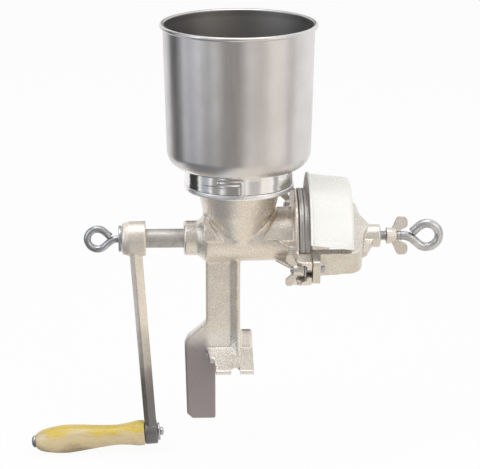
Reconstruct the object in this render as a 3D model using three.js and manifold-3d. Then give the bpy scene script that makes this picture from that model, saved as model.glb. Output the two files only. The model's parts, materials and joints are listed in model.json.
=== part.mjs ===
/**
 * Hand-cranked burr mill for corn and grain, clamped to a table edge.
 *
 * Frame: X runs along the crankshaft from the crank to the adjusting screw, Z points up,
 * and the origin lies on the table seat, straight below the axis of the hopper.
 * Every piece is drawn about the shaft axis and then lifted by SHAFT_HEIGHT.
 * All sizes are in millimetres and all angles in degrees.
 */
import * as THREE from 'three';
import { mergeVertices } from 'three/addons/utils/BufferGeometryUtils.js';
import Module from 'manifold-3d';

const wasm = await Module();
wasm.setup();

// ---------------------------------------------------------------- fits
const GAP = 0.3; // between two faces that bear on each other
const PLAY = 0.3; // radial play of a rod in its hole
const OVERLAP = 1; // how far joined features run into each other
const BURR_TRAVEL = 1.5; // how far the moving burr backs off from the fixed one

// ---------------------------------------------------------------- crankshaft and feed screw
const SHAFT_HEIGHT = 127; // table seat to shaft axis
const SHAFT_D = 18;
const TAIL_D = 16; // the shaft's burr end
const SCREW_D = 35;
const SCREW_PITCH = 25;
const FLIGHT_ROOT_T = 6;
const FLIGHT_TIP_T = 3.4;
const SHAFT_FLAT_D = 15; // across the two flats in the crank hub
const BALL_D = 9.5;
const SHAFT_TAIL = 1.5; // shaft past the carrier's hub, and short of the crank's face
const BALL_PROUD = 0.6; // ball's centre past the end of the shaft

// ---------------------------------------------------------------- cast body
const BORE_PLAY = 0.5; // screw flight to barrel bore
const BARREL_WALL = 5;
const BARREL_LEFT = -33; // inner end wall of the barrel
const BARREL_RIGHT = 51.2; // left face of the burr flange
const END_WALL = 5;
const BOSS_D = 33;
const BOSS_LENGTH = 14.5;
const FLANGE_T = 3.8;
const CHUTE_RISE = 5.8; // chute roof above the barrel's outside
const FUNNEL_WALL = 4;
const FUNNEL_TOP_D = 79.4;
const FUNNEL_WAIST_D = 68;
const FUNNEL_WAIST_Z = 27;
const FUNNEL_FOOT_L = 42;
const FUNNEL_FOOT_Z = 4;
const BOSS_SHOULDER_RISE = 2.6; // shoulder beside the funnel above the barrel's outside
const NECK_FLANGE_T = 4.9;
const NECK_FLANGE_Z = 49.5; // underside of the neck flange
const NECK_FLANGE_LIP = 0.8; // flange past the hopper's collar
const SPIGOT_H = 14.6;
const SPIGOT_WALL = 3.6;
const BAYONET_ANGLE = 24; // from the entry slot to the locked end
const PEG_D = 4;

// ---------------------------------------------------------------- hopper
const COLLAR_D = 101.8;
const COLLAR_H = 15.8;
const HOPPER_LOW_D = 135.6;
const HOPPER_TOP_D = 141.8;
const HOPPER_RIM_Z = 205; // centre of the rolled rim above the shaft
const HOPPER_WALL = 1;
const RIM_BEAD_D = 4.4;
const CHANNEL_RISE = 2.2; // how far the bayonet channel stands out of the collar
const CHANNEL_PLAY = 0.5;
const CHANNEL_WALL = 0.9;
const CHANNEL_DROP = 3.6; // middle of the channel below the collar's top

// ---------------------------------------------------------------- burrs and carrier
const BURR_D = 93;
const BURR_BASE_T = 2.6;
const TOOTH_H = 1.8;
const TOOTH_W = 3.2;
const TOOTH_TIP_W = 1;
const TOOTH_GAP = 3.4; // between the ridges of a sector
const TOOTH_STEP = 5; // each ridge of a sector starts this much further out
const LAND_W = 3; // flat land round a burr's rim
const BURR_SECTORS = 8;
const RIDGES_PER_SECTOR = 3;
const FIXED_BURR_BORE = 39;
const MOVING_BURR_BORE = 26;
const LUG_SIZE = 7; // driving lugs on the backs of the burrs
const LUG_H = 2.6;
const FIXED_LUG_R = 33;
const CARRIER_LUG_R = 22;
const CARRIER_D = 64;
const CARRIER_T = 4.4;
const CARRIER_HUB_D = 26;
const CARRIER_HUB_L = 17;
const DRIVE_PIN_D = 5;

// ---------------------------------------------------------------- bridge and its bolts
const BRIDGE_TILT = 18; // front arm below the horizontal, back arm above it
const RIM_PLAY = 0.7; // burr rim to the fork
const BOLT_D = 7.6;
const BOLT_TAIL = 4.5;
const FORK_T = 5.5;
const EAR_T = 7.5;
const EAR_REACH = 8; // past the bolt centre
const ARM_INSET = 4.2; // outer side of the arms below the bolts
const ARM_T = 8.5;
const ARM_HEIGHT = 25; // across the arms, the ears and the fork
const BRIDGE_REACH = 113; // outer face of the bridge web
const WEB_T = 7.5;
const WEB_CONE = 4.5; // how far the web bulges towards the hub
const HUB_D = 22;
const HUB_L = 21.5; // hub beyond the bridge's web
const INNER_BOSS_D = 24;
const INNER_BOSS_L = 7.5;
const RIB_T = 6; // stiffening rib between the web and the hub
const CHEEK_T = 3.5;
const WASHER_T = 1.6;
const WASHER_D = 15;
const BOLT_NOSE = 2.5; // stud past the wing nut
const NUT_L = 10;
const NUT_HUB_D = 13.5;
const WING_SPAN = 32;
const WING_T = 3.4;
const WING_FLARE = 7; // how far the wings lean past the hub
const WING_LOBE = 6; // width of a wing's round end

// ---------------------------------------------------------------- adjusting screw
const ADJUSTER_D = 9.4;
const ADJUSTER_REACH = 12; // lock nut to the neck of the eye
const ADJUSTER_EYE_D = 8.6; // thickness of the eye's rod
const ADJUSTER_LOOP_R = 11.6;
const EYE_PEAR = 1.5; // neck of an eye to its loop's centre, in loop radii
const EYE_CLOSE = 0.5; // free end to the rod that it closes on, in rod thicknesses
const EYE_BEND = 0.7; // bend at the neck of an eye, in rod thicknesses
const LOCK_NUT_STAND = 6; // hub end to the lock nut
const LOCK_NUT_L = 9.5;
const LOCK_NUT_HUB_D = 16;
const LOCK_WING_SPAN = 37;
const LOCK_WING_FLARE = 11;
const LOCK_WING_LOBE = 10;
const LOCK_NUT_TURN = 86; // wings from the bridge's own plane

// ---------------------------------------------------------------- burr guard
const GUARD_LEFT = 64.5;
const GUARD_OPEN_D = 120;
const GUARD_CLOSED_D = 112;
const GUARD_WALL = 2.2;
const GUARD_FILLET = 4.5;
const GUARD_LIP = 1.6;
const GUARD_EDGE_LEFT = 12.5; // height of the front edge above the shaft at the open end
const GUARD_EDGE_RIGHT = 6;

// ---------------------------------------------------------------- crank
const CRANK_RADIUS = 195.5;
const CRANK_LEAN = 4; // the arm leans towards the body
const HOPPER_CLEARANCE = 0.6; // handle bolt past the hopper with the burrs wide open
const CRANK_HUB_D = 33.4;
const HUB_RIGHT = 10.6; // crank hub right of the arm's centre plane
const HUB_LEFT = 12.4;
const ARM_TOP_T = 12;
const ARM_TOP_W = 24;
const ARM_LOW_T = 11.4;
const ARM_LOW_W = 18;
const EYE_D = 23;
const EYE_T = 12.4;
const CRANK_WASHER_D = 25;
const CRANK_WASHER_T = 2.6;
const CLAMP_SCREW_D = 8;
const CLAMP_SCREW_GRIP = 14; // thread inside the shaft
const CLAMP_NECK = 5; // shank outside the washer
const CLAMP_EYE_D = 7;
const CLAMP_LOOP_R = 9.7;
const GRIP_LENGTH = 105.4;
const GRIP_END_D = 15;
const GRIP_BELLY_D = 27.4;
const GRIP_WAIST_D = 19.8;
const GRIP_ROOT_D = 24.6;
const HANDLE_BOLT_D = 6;
const HANDLE_CAP_D = 11.6;
const HANDLE_CAP_T = 3.6;
const HANDLE_WASHER_D = 17;
const HANDLE_WASHER_T = 2.2;
const HANDLE_TAIL = 3.6;

// ---------------------------------------------------------------- leg and table clamp
const LEG_LEFT = -31.7;
const LEG_RIGHT = 0.9;
const LEG_WEB_T = 9.5;
const LEG_FLANGE_T = 4.6;
const LEG_FLANGE_W = 24;
const TABLE_EDGE_X = -22.8; // face of the clamp plate that meets the table's edge
const CLAMP_PLATE_X = -52.3;
const CLAMP_PLATE_DROP = 53.7; // plate below the table seat
const SHOULDER_RISE = 44.5; // where the leg widens into the plate, above the seat
const FOOT_LEFT = -31;
const FOOT_STEP = 2.6; // step in the foot's left edge
const FOOT_RIGHT = 13.1;
const FOOT_RIDGE = 18.6; // ridge of the saddle above the seat
const FOOT_STANCE = 64; // toe to toe across the table edge
const FOOT_T = 3.6;
const TOE_W = 7;
const NOTCH_W = 8.4;
const NOTCH_X = -4.5;
const NOTCH_DEPTH = 10;
const GUSSET_H = 15.5;
const GUSSET_RIGHT = 12.6;

// ---------------------------------------------------------------- places worked out from the sizes
const R = (diameter) => diameter / 2;
const rad = THREE.MathUtils.degToRad;

const barrelBoreR = R(SCREW_D) + BORE_PLAY;
const barrelR = barrelBoreR + BARREL_WALL;
const bossLeft = BARREL_LEFT - END_WALL - BOSS_LENGTH;
const flangeRight = BARREL_RIGHT + FLANGE_T;
const fixedBurrX = flangeRight + GAP;
const fixedFaceX = fixedBurrX + BURR_BASE_T;
const movingFaceX = fixedFaceX + 2 * TOOTH_H + GAP;
const movingBackX = movingFaceX + BURR_BASE_T;
const carrierX = movingBackX + GAP;
const carrierRight = carrierX + CARRIER_T;
const hubRight = carrierRight + CARRIER_HUB_L;
const pinX = carrierRight + CARRIER_HUB_L / 2;
const earX = movingBackX + BURR_TRAVEL + GAP;
const earRight = earX + EAR_T;
const forkRight = earX - GAP;
const forkX = forkRight - FORK_T;
const washerX = forkX - GAP - WASHER_T;
const nutX = washerX - GAP - NUT_L;
const shaftRight = hubRight + SHAFT_TAIL;
const ballX = shaftRight + BALL_PROUD;
const adjusterTipX = ballX + R(BALL_D) + GAP;
const webLeft = BRIDGE_REACH - WEB_T;
const forkInnerR = R(BURR_D) + RIM_PLAY;
const boltR = forkInnerR + GAP + R(WASHER_D);
const earOuterR = boltR + EAR_REACH;
const armOuterR = boltR - R(BOLT_D) - ARM_INSET;
const hubEnd = BRIDGE_REACH + HUB_L;
const lockNutX = hubEnd + LOCK_NUT_STAND;
const adjusterEyeX = lockNutX + LOCK_NUT_L + ADJUSTER_REACH;
const collarZ = NECK_FLANGE_Z + NECK_FLANGE_T + GAP;
const spigotR = R(COLLAR_D) - HOPPER_WALL - CHANNEL_PLAY;
const channelZ = collarZ + COLLAR_H - CHANNEL_DROP;
const channelOuterR = R(COLLAR_D) + CHANNEL_RISE;
const handleReach = EYE_T / 2 + GAP + HANDLE_WASHER_T + HANDLE_TAIL;
const crankEyeX = -(R(HOPPER_TOP_D) + BURR_TRAVEL + HOPPER_CLEARANCE + handleReach);
const crankX = crankEyeX - CRANK_RADIUS * Math.tan(rad(CRANK_LEAN));
const hubFaceX = crankX - HUB_LEFT;
const shaftLeft = hubFaceX + SHAFT_TAIL;
const crankWasherX = hubFaceX - GAP - CRANK_WASHER_T;
const clampNeckX = crankWasherX - GAP - CLAMP_NECK;
const seatZ = -SHAFT_HEIGHT;

// ---------------------------------------------------------------- shape helpers

/** Closed triangle mesh with shared corners, turned so that its faces point outwards. */
function closedMesh(geometry) {
  const bare = geometry.clone();
  bare.deleteAttribute('normal');
  bare.deleteAttribute('uv');
  const merged = mergeVertices(bare, 1e-4);
  const corners = merged.getAttribute('position');
  const index = merged.index.array;
  const kept = [];
  const [a, b, c] = [new THREE.Vector3(), new THREE.Vector3(), new THREE.Vector3()];
  let volume = 0;
  for (let i = 0; i < index.length; i += 3) {
    const [p, q, r] = [index[i], index[i + 1], index[i + 2]];
    if (p === q || q === r || r === p) continue;
    kept.push(p, q, r);
    a.fromBufferAttribute(corners, p);
    b.fromBufferAttribute(corners, q);
    c.fromBufferAttribute(corners, r);
    volume += a.dot(b.cross(c));
  }
  if (volume < 0) kept.reverse();
  merged.setIndex(kept);
  return merged;
}

function toManifold(geometry) {
  const mesh = closedMesh(geometry);
  const vertProperties = Float32Array.from(mesh.getAttribute('position').array);
  const triVerts = Uint32Array.from(mesh.index.array);
  return new wasm.Manifold(new wasm.Mesh({ numProp: 3, vertProperties, triVerts }));
}

function toGeometry(solid) {
  const mesh = solid.getMesh();
  const geometry = new THREE.BufferGeometry();
  geometry.setAttribute('position', new THREE.BufferAttribute(mesh.vertProperties, 3));
  geometry.setIndex(new THREE.BufferAttribute(mesh.triVerts, 1));
  return geometry;
}

/** The first body with all the others joined to it. */
function join(...bodies) {
  return toGeometry(bodies.map(toManifold).reduce((whole, next) => whole.add(next)));
}

/** The first body with all the others cut out of it. */
function cut(body, ...tools) {
  return toGeometry(tools.map(toManifold).reduce((left, tool) => left.subtract(tool), toManifold(body)));
}

/** What the two bodies have in common. */
function common(body, other) {
  return toGeometry(toManifold(body).intersect(toManifold(other)));
}

/** Turned part about the X axis; the profile holds [x, radius] pairs. */
function turnedX(profile, sides = 24) {
  const points = profile.map(([x, radius]) => new THREE.Vector2(radius, x));
  return new THREE.LatheGeometry(points, sides).rotateZ(-Math.PI / 2);
}

/** Turned part about the Z axis; the profile holds [radius, z] pairs. */
function turnedZ(profile, sides = 36) {
  const points = profile.map(([radius, z]) => new THREE.Vector2(radius, z));
  return new THREE.LatheGeometry(points, sides).rotateX(Math.PI / 2);
}

function rodX(diameter, from, to, sides = 24) {
  return turnedX([[from, 0], [from, R(diameter)], [to, R(diameter)], [to, 0]], sides);
}

function rodZ(diameter, from, to, sides = 24) {
  return turnedZ([[0, from], [R(diameter), from], [R(diameter), to], [0, to]], sides);
}

/** Ring about the X axis. */
function ringX(outerD, innerD, from, to, sides = 32) {
  const [outer, inner] = [R(outerD), R(innerD)];
  return turnedX([[from, inner], [from, outer], [to, outer], [to, inner], [from, inner]], sides);
}

/** Rod with a chamfer on the ends that are asked for. */
function chamferedRodX(diameter, from, to, chamfer, sides = 24) {
  const radius = R(diameter);
  return turnedX([
    [from, 0], [from, radius - chamfer], [from + chamfer, radius],
    [to - chamfer, radius], [to, radius - chamfer], [to, 0],
  ], sides);
}

/** Outline through corners [u, v, radius], with each radius a true arc. */
function outline(corners, steps = 3) {
  const count = corners.length;
  const points = [];
  corners.forEach(([u, v, radius = 0], i) => {
    const corner = new THREE.Vector2(u, v);
    if (radius === 0) {
      points.push(corner);
      return;
    }
    const [u0, v0] = corners[(i + count - 1) % count];
    const [u1, v1] = corners[(i + 1) % count];
    const back = new THREE.Vector2(u0, v0).sub(corner).normalize();
    const ahead = new THREE.Vector2(u1, v1).sub(corner).normalize();
    const half = Math.acos(THREE.MathUtils.clamp(back.dot(ahead), -1, 1)) / 2;
    const middle = back.clone().add(ahead).normalize();
    const centre = middle.multiplyScalar(radius / Math.sin(half)).add(corner);
    const start = back.clone().multiplyScalar(radius / Math.tan(half)).add(corner).sub(centre);
    const end = ahead.clone().multiplyScalar(radius / Math.tan(half)).add(corner).sub(centre);
    const sweep = Math.atan2(start.cross(end), start.dot(end));
    for (let k = 0; k <= steps; k += 1) {
      const turn = (sweep * k) / steps;
      points.push(start.clone().rotateAround(new THREE.Vector2(), turn).add(centre));
    }
  });
  return new THREE.Shape(points);
}

const X_AXIS = new THREE.Vector3(1, 0, 0);
const Y_AXIS = new THREE.Vector3(0, 1, 0);
const Z_AXIS = new THREE.Vector3(0, 0, 1);

/** Matrix that turns a drawing's own axes to the three that are given. */
function axes(u, v, w) {
  return new THREE.Matrix4().makeBasis(u, v, w);
}

function slab(shape, depth) {
  return new THREE.ExtrudeGeometry(shape, { depth, bevelEnabled: false, curveSegments: 8 });
}

/** Polygon through plain [u, v] corners. */
function polygon(corners) {
  return new THREE.Shape(corners.map(([u, v]) => new THREE.Vector2(u, v)));
}

/** Plate parallel to the XZ plane; its outline holds [x, z]. */
function plateXZ(shape, yMin, yMax) {
  return slab(shape, yMax - yMin).rotateX(Math.PI / 2).translate(0, yMax, 0);
}

/** Plate parallel to the YZ plane; its outline holds [y, z]. */
function plateYZ(shape, xMin, xMax) {
  return slab(shape, xMax - xMin).applyMatrix4(axes(Y_AXIS, Z_AXIS, X_AXIS)).translate(xMin, 0, 0);
}

/** Plate parallel to the XY plane; its outline holds [x, y]. */
function plateXY(shape, zMin, zMax) {
  return slab(shape, zMax - zMin).translate(0, 0, zMin);
}

function block(xMin, xMax, yMin, yMax, zMin, zMax) {
  const box = new THREE.BoxGeometry(xMax - xMin, yMax - yMin, zMax - zMin);
  return box.translate((xMin + xMax) / 2, (yMin + yMax) / 2, (zMin + zMax) / 2);
}

/** Solid skinned over a row of rings that hold equally many corners. */
function loft(rings) {
  const count = rings[0].length;
  const corners = rings.flat();
  const index = [];
  for (let i = 0; i + 1 < rings.length; i += 1) {
    for (let k = 0; k < count; k += 1) {
      const [a, b] = [i * count + k, i * count + ((k + 1) % count)];
      index.push(a, b, b + count, a, b + count, a + count);
    }
  }
  const cap = (ring, first, flip) => {
    const middle = new THREE.Vector3();
    ring.forEach((corner) => middle.add(corner));
    corners.push(middle.divideScalar(count));
    for (let k = 0; k < count; k += 1) {
      const [a, b] = [first + k, first + ((k + 1) % count)];
      index.push(...(flip ? [b, a, corners.length - 1] : [a, b, corners.length - 1]));
    }
  };
  cap(rings[0], 0, true);
  cap(rings.at(-1), (rings.length - 1) * count, false);
  const geometry = new THREE.BufferGeometry().setFromPoints(corners);
  geometry.setIndex(index);
  return geometry;
}

/** Ellipse in a level plane. */
function levelRing(z, radiusX, radiusY, centreX = 0, sides = 32) {
  return Array.from({ length: sides }, (_, k) => {
    const turn = (2 * Math.PI * k) / sides;
    return new THREE.Vector3(centreX + radiusX * Math.cos(turn), radiusY * Math.sin(turn), z);
  });
}

/** Round rod along a curve. */
function rodAlong(path, diameter, steps, sides = 10) {
  const section = new THREE.Shape(
    Array.from({ length: sides }, (_, k) => {
      const turn = (2 * Math.PI * k) / sides;
      return new THREE.Vector2(R(diameter) * Math.cos(turn), R(diameter) * Math.sin(turn));
    }),
  );
  return new THREE.ExtrudeGeometry(section, { steps, extrudePath: path });
}

/** Turns a body from the bridge's own frame, with its arms along Y, to where the bridge sits. */
function tilted(geometry) {
  return geometry.rotateX(rad(BRIDGE_TILT));
}

/** Half-turn about the shaft axis. */
function opposite(geometry) {
  return geometry.clone().rotateX(Math.PI);
}

// ---------------------------------------------------------------- finishes
const TINNED_IRON = { color: 0xcfc3b2, roughness: 0.42, metalness: 0.85 };
const DARK_IRON = { color: 0x8f8782, roughness: 0.5, metalness: 0.85 };
const BRIGHT_SHEET = { color: 0xd9d8d6, roughness: 0.22, metalness: 1 };
const PLATED_STEEL = { color: 0xc4c2bf, roughness: 0.3, metalness: 1 };
const CREAM_PLASTIC = { color: 0xf1ece0, roughness: 0.35, metalness: 0 };
const VARNISHED_WOOD = { color: 0xd9b64a, roughness: 0.4, metalness: 0 };

const mill = new THREE.Group();
mill.position.z = SHAFT_HEIGHT;

function piece(name, geometry, finish) {
  const mesh = new THREE.Mesh(closedMesh(geometry), new THREE.MeshStandardMaterial(finish));
  mesh.name = name;
  mill.add(mesh);
  return mesh;
}

// ---------------------------------------------------------------- hopper

/** Bowl wall from the collar up to the rolled rim, as one closed profile. */
function hopperShell() {
  const [collarR, lowR, topR] = [R(COLLAR_D), R(HOPPER_LOW_D), R(HOPPER_TOP_D)];
  const shoulderR = lowR - collarR;
  const shoulderZ = collarZ + COLLAR_H;
  const beadR = R(RIM_BEAD_D);
  const outside = [[collarR, collarZ], [collarR, shoulderZ]];
  const inside = [[collarR - HOPPER_WALL, collarZ]];
  const bend = 5;
  for (let k = 1; k <= bend; k += 1) {
    const turn = rad(-90 + (90 * k) / bend);
    outside.push([collarR + shoulderR * Math.cos(turn), shoulderZ + shoulderR * (1 + Math.sin(turn))]);
  }
  for (let k = 0; k <= bend; k += 1) {
    const turn = rad(-90 + (90 * k) / bend);
    const inner = shoulderR - HOPPER_WALL;
    inside.push([collarR + inner * Math.cos(turn), shoulderZ + shoulderR + inner * Math.sin(turn)]);
  }
  inside[1][0] = collarR - HOPPER_WALL;
  const bead = [];
  for (let k = 0; k <= 6; k += 1) {
    const turn = rad(-120 + (285 * k) / 6);
    bead.push([topR + HOPPER_WALL + beadR * Math.cos(turn), HOPPER_RIM_Z + beadR * Math.sin(turn)]);
  }
  bead.push([topR - HOPPER_WALL, HOPPER_RIM_Z]);
  const profile = [...outside, ...bead, ...inside.reverse()];
  return turnedZ([...profile, profile[0]], 40);
}

/** Inverted-L sector that stands out of the collar, or the groove inside it. */
function bayonetChannel(width, innerR, outerR, floorZ) {
  const slack = THREE.MathUtils.radToDeg(width / 2 / R(COLLAR_D));
  const sector = (from, to, zMin, zMax) => {
    const shape = new THREE.Shape();
    shape.absarc(0, 0, outerR, rad(from), rad(to), false);
    shape.absarc(0, 0, innerR, rad(to), rad(from), true);
    return plateXY(shape, zMin, zMax);
  };
  const [low, high] = [channelZ - width / 2, channelZ + width / 2];
  const across = sector(-90 - BAYONET_ANGLE - slack, -90 + slack, low, high);
  const down = sector(-90 - slack, -90 + slack, floorZ, high);
  return join(across, down);
}

function hopper() {
  const grooveW = PEG_D + 2 * CHANNEL_PLAY;
  const innerR = R(COLLAR_D) - HOPPER_WALL;
  const bump = bayonetChannel(grooveW + 2 * CHANNEL_WALL, innerR + 0.2, channelOuterR, collarZ);
  const groove = bayonetChannel(grooveW, innerR - OVERLAP, channelOuterR - CHANNEL_WALL, collarZ - OVERLAP);
  const turn = (geometry) => geometry.clone().rotateZ(Math.PI);
  return cut(join(hopperShell(), bump, turn(bump)), groove, turn(groove));
}

// ---------------------------------------------------------------- cast body

/** Barrel with its crank-end boss, flared shoulder and burr flange. */
function barrelOutside() {
  const left = BARREL_LEFT - END_WALL;
  return turnedX([
    [bossLeft, 0], [bossLeft, R(BOSS_D) - 1.2], [bossLeft + 1.2, R(BOSS_D)], [left - 2, R(BOSS_D)],
    [left + 1.5, R(BOSS_D) + 1.6], [left + 4.5, R(BOSS_D) + 4.8], [BARREL_LEFT, barrelR],
    [BARREL_RIGHT - 5, barrelR - 1], [BARREL_RIGHT - 1.5, barrelR + 1.5], [BARREL_RIGHT, barrelR + 5],
    [BARREL_RIGHT, R(BURR_D)], [flangeRight, R(BURR_D)], [flangeRight, 0],
  ], 32);
}

/** Skin of the funnel between the neck flange and the barrel, grown by a margin. */
function funnelSkin(margin, zMin, zMax) {
  const section = (z) => {
    const low = z < FUNNEL_WAIST_Z;
    const from = low ? FUNNEL_FOOT_Z : FUNNEL_WAIST_Z;
    const share = (z - from) / ((low ? FUNNEL_WAIST_Z : NECK_FLANGE_Z) - from);
    const footX = low ? FUNNEL_FOOT_L / 2 : R(FUNNEL_WAIST_D);
    const footY = low ? barrelR + 1 : R(FUNNEL_WAIST_D);
    const top = low ? R(FUNNEL_WAIST_D) : R(FUNNEL_TOP_D);
    const mix = THREE.MathUtils.lerp;
    return levelRing(z, mix(footX, top, share) + margin, mix(footY, top, share) + margin);
  };
  const heights = [zMin, FUNNEL_FOOT_Z, FUNNEL_WAIST_Z, zMax].filter((z) => z >= zMin && z <= zMax);
  return loft([...new Set(heights)].map(section));
}

/** Raised roof over the screw between the funnel and the burr flange. */
function chute() {
  const [foot, roof] = [5, barrelR + CHUTE_RISE];
  const side = outline([
    [FUNNEL_FOOT_L / 2, foot], [BARREL_RIGHT + OVERLAP, foot],
    [BARREL_RIGHT + OVERLAP, roof + OVERLAP], [R(FUNNEL_WAIST_D) + 4, roof + OVERLAP],
  ]);
  const roofRod = rodX(2 * roof, 0, BARREL_RIGHT + OVERLAP, 32);
  return common(plateXZ(side, -roof, roof), roofRod);
}

/** Shoulder between the crank-end boss and the funnel. */
function leftShoulder() {
  const roof = barrelR + BOSS_SHOULDER_RISE;
  const left = BARREL_LEFT - 1;
  const side = outline([
    [left, 3], [-FUNNEL_FOOT_L / 2 + 4, 3],
    [-R(FUNNEL_WAIST_D) + 0.5, roof + OVERLAP], [left, roof + OVERLAP],
  ]);
  return common(plateXZ(side, -roof, roof), rodX(2 * roof, left, 0, 32));
}

/** Round neck flange with the spigot and the two bayonet pegs. */
function neck() {
  const flangeR = R(COLLAR_D) + NECK_FLANGE_LIP;
  const flangeTop = NECK_FLANGE_Z + NECK_FLANGE_T;
  const spigotTop = flangeTop + SPIGOT_H;
  const pegAngle = rad(-90 - BAYONET_ANGLE);
  const pegEndR = channelOuterR - CHANNEL_WALL - CHANNEL_PLAY;
  const peg = rodX(PEG_D, spigotR - SPIGOT_WALL / 2, pegEndR, 12)
    .rotateZ(pegAngle)
    .translate(0, 0, channelZ);
  const disc = turnedZ([
    [0, NECK_FLANGE_Z - 2], [R(FUNNEL_TOP_D), NECK_FLANGE_Z - 2], [R(FUNNEL_TOP_D) + 2, NECK_FLANGE_Z],
    [flangeR - 1, NECK_FLANGE_Z], [flangeR, NECK_FLANGE_Z + 1], [flangeR, flangeTop - 1],
    [flangeR - 1, flangeTop], [spigotR, flangeTop], [spigotR, spigotTop - 1],
    [spigotR - 1, spigotTop], [0, spigotTop],
  ]);
  return join(disc, peg, peg.clone().rotateZ(Math.PI));
}

/** Everything that is hollow: throat, barrel bore, shaft hole and burr opening. */
function bodyHollow() {
  const throatR = spigotR - SPIGOT_WALL;
  const flangeTop = NECK_FLANGE_Z + NECK_FLANGE_T;
  const spigotTop = flangeTop + SPIGOT_H + OVERLAP;
  const throat = turnedZ([
    [0, NECK_FLANGE_Z], [R(FUNNEL_TOP_D) - FUNNEL_WALL, NECK_FLANGE_Z], [throatR, flangeTop],
    [throatR, spigotTop], [0, spigotTop],
  ]);
  const funnel = funnelSkin(-FUNNEL_WALL, 0, NECK_FLANGE_Z + OVERLAP);
  const bore = rodX(2 * barrelBoreR, BARREL_LEFT, flangeRight + OVERLAP, 32);
  const shaftHole = rodX(SHAFT_D + 2 * PLAY, bossLeft - OVERLAP, BARREL_LEFT + OVERLAP);
  return join(bore, throat, funnel, shaftHole);
}

/** Forked lug for one bridge bolt, drawn on the +Y side of the bridge's own frame. */
function forkLug() {
  const half = R(ARM_HEIGHT);
  const cheekSide = polygon([
    [BARREL_RIGHT - 18, 18], [BARREL_RIGHT - 17, barrelR + 1], [BARREL_RIGHT - 5, 36],
    [BARREL_RIGHT, 36.4], [BARREL_RIGHT, earOuterR - 5], [BARREL_RIGHT + 5, earOuterR],
    [forkRight, earOuterR], [forkRight, forkInnerR], [flangeRight, forkInnerR],
    [flangeRight, 24], [BARREL_RIGHT - 2, 18],
  ]);
  const cheek = plateXY(cheekSide, half - CHEEK_T, half);
  const lowerCheek = cheek.clone().translate(0, 0, -2 * half + CHEEK_T);
  const prongs = plateYZ(outline([
    [forkInnerR, -half], [earOuterR, -half, 3], [earOuterR, half, 3], [forkInnerR, half],
  ]), forkX, forkRight);
  const slotR = R(BOLT_D) + PLAY;
  const [slotLeft, slotRight] = [forkX - OVERLAP, forkRight + OVERLAP];
  const slot = block(slotLeft, slotRight, forkInnerR - OVERLAP, earOuterR + OVERLAP, -slotR, slotR);
  return join(cheek, lowerCheek, cut(prongs, slot));
}

/** Leg web, clamp plate and table shoulder as one flat outline. */
function legWeb() {
  const shoulder = seatZ + SHOULDER_RISE;
  const plateBottom = seatZ - CLAMP_PLATE_DROP;
  const gussetTop = seatZ + FOOT_RIDGE + GUSSET_H;
  const side = outline([
    [LEG_LEFT, -8], [LEG_LEFT, shoulder, 6], [CLAMP_PLATE_X + 3, shoulder - 14.5, 5],
    [CLAMP_PLATE_X, shoulder - 22], [CLAMP_PLATE_X + 2, plateBottom + 5], [CLAMP_PLATE_X + 7.5, plateBottom],
    [TABLE_EDGE_X - 1, plateBottom], [TABLE_EDGE_X, plateBottom + 1], [TABLE_EDGE_X, seatZ],
    [FOOT_RIGHT, seatZ], [FOOT_RIGHT, seatZ + FOOT_RIDGE - 1],
    [GUSSET_RIGHT, gussetTop, 1.5], [LEG_RIGHT - 1, gussetTop],
    [LEG_RIGHT - 1, -8],
  ]);
  return plateXZ(side, -R(LEG_WEB_T), R(LEG_WEB_T));
}

/** Cross rib along the leg's right edge, wide at both ends and waisted between. */
function legFlange() {
  const [top, foot] = [-barrelR + 4, seatZ + FOOT_RIDGE - 2];
  const [wide, slim] = [R(LEG_FLANGE_W) + 3, R(LEG_FLANGE_W) - 1];
  const middle = (top + foot) / 2;
  const face = new THREE.Shape();
  face.moveTo(-wide, foot);
  face.quadraticCurveTo(-slim, middle - 12, -slim, middle);
  face.quadraticCurveTo(-slim, middle + 12, -wide + 1, top);
  face.lineTo(wide - 1, top);
  face.quadraticCurveTo(slim, middle + 12, slim, middle);
  face.quadraticCurveTo(slim, middle - 12, wide, foot);
  return plateYZ(face, LEG_RIGHT - LEG_FLANGE_T, LEG_RIGHT);
}

/** One sloping wing of the saddle foot, on the +Y side. */
function footWing() {
  const half = R(FOOT_STANCE);
  const underside = seatZ + FOOT_RIDGE - FOOT_T * 1.2;
  const profile = polygon([
    [0, seatZ + FOOT_RIDGE], [R(LEG_WEB_T), seatZ + FOOT_RIDGE], [half, seatZ + FOOT_T], [half, seatZ],
    [half - TOE_W, seatZ], [half - TOE_W, seatZ + 1.4], [R(LEG_WEB_T), underside], [0, underside],
  ]);
  const wing = plateYZ(profile, FOOT_LEFT, FOOT_RIGHT);
  const [cornerX, toeX] = [FOOT_LEFT + FOOT_STEP, FOOT_LEFT + 2 * FOOT_STEP + 1.4];
  const [stepY, neckY] = [half / 2 + 1, R(LEG_WEB_T) + 2];
  const plan = outline([
    [FOOT_LEFT, -1], [FOOT_RIGHT, -1], [FOOT_RIGHT, half + OVERLAP], [toeX + 1, half + OVERLAP],
    [toeX, stepY], [cornerX, stepY], [FOOT_LEFT, neckY],
  ]);
  return common(wing, plateXY(plan, seatZ - OVERLAP, seatZ + FOOT_RIDGE + OVERLAP));
}

/** Round-ended notch in the front toe for a holding nail. */
function footNotch() {
  const half = R(FOOT_STANCE);
  const end = -half + NOTCH_DEPTH - R(NOTCH_W);
  const low = seatZ - OVERLAP;
  const high = seatZ + FOOT_RIDGE + OVERLAP;
  const slot = block(NOTCH_X - R(NOTCH_W), NOTCH_X + R(NOTCH_W), -half - OVERLAP, end, low, high);
  return join(slot, rodZ(NOTCH_W, low, high, 20).translate(NOTCH_X, end, 0));
}

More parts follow.
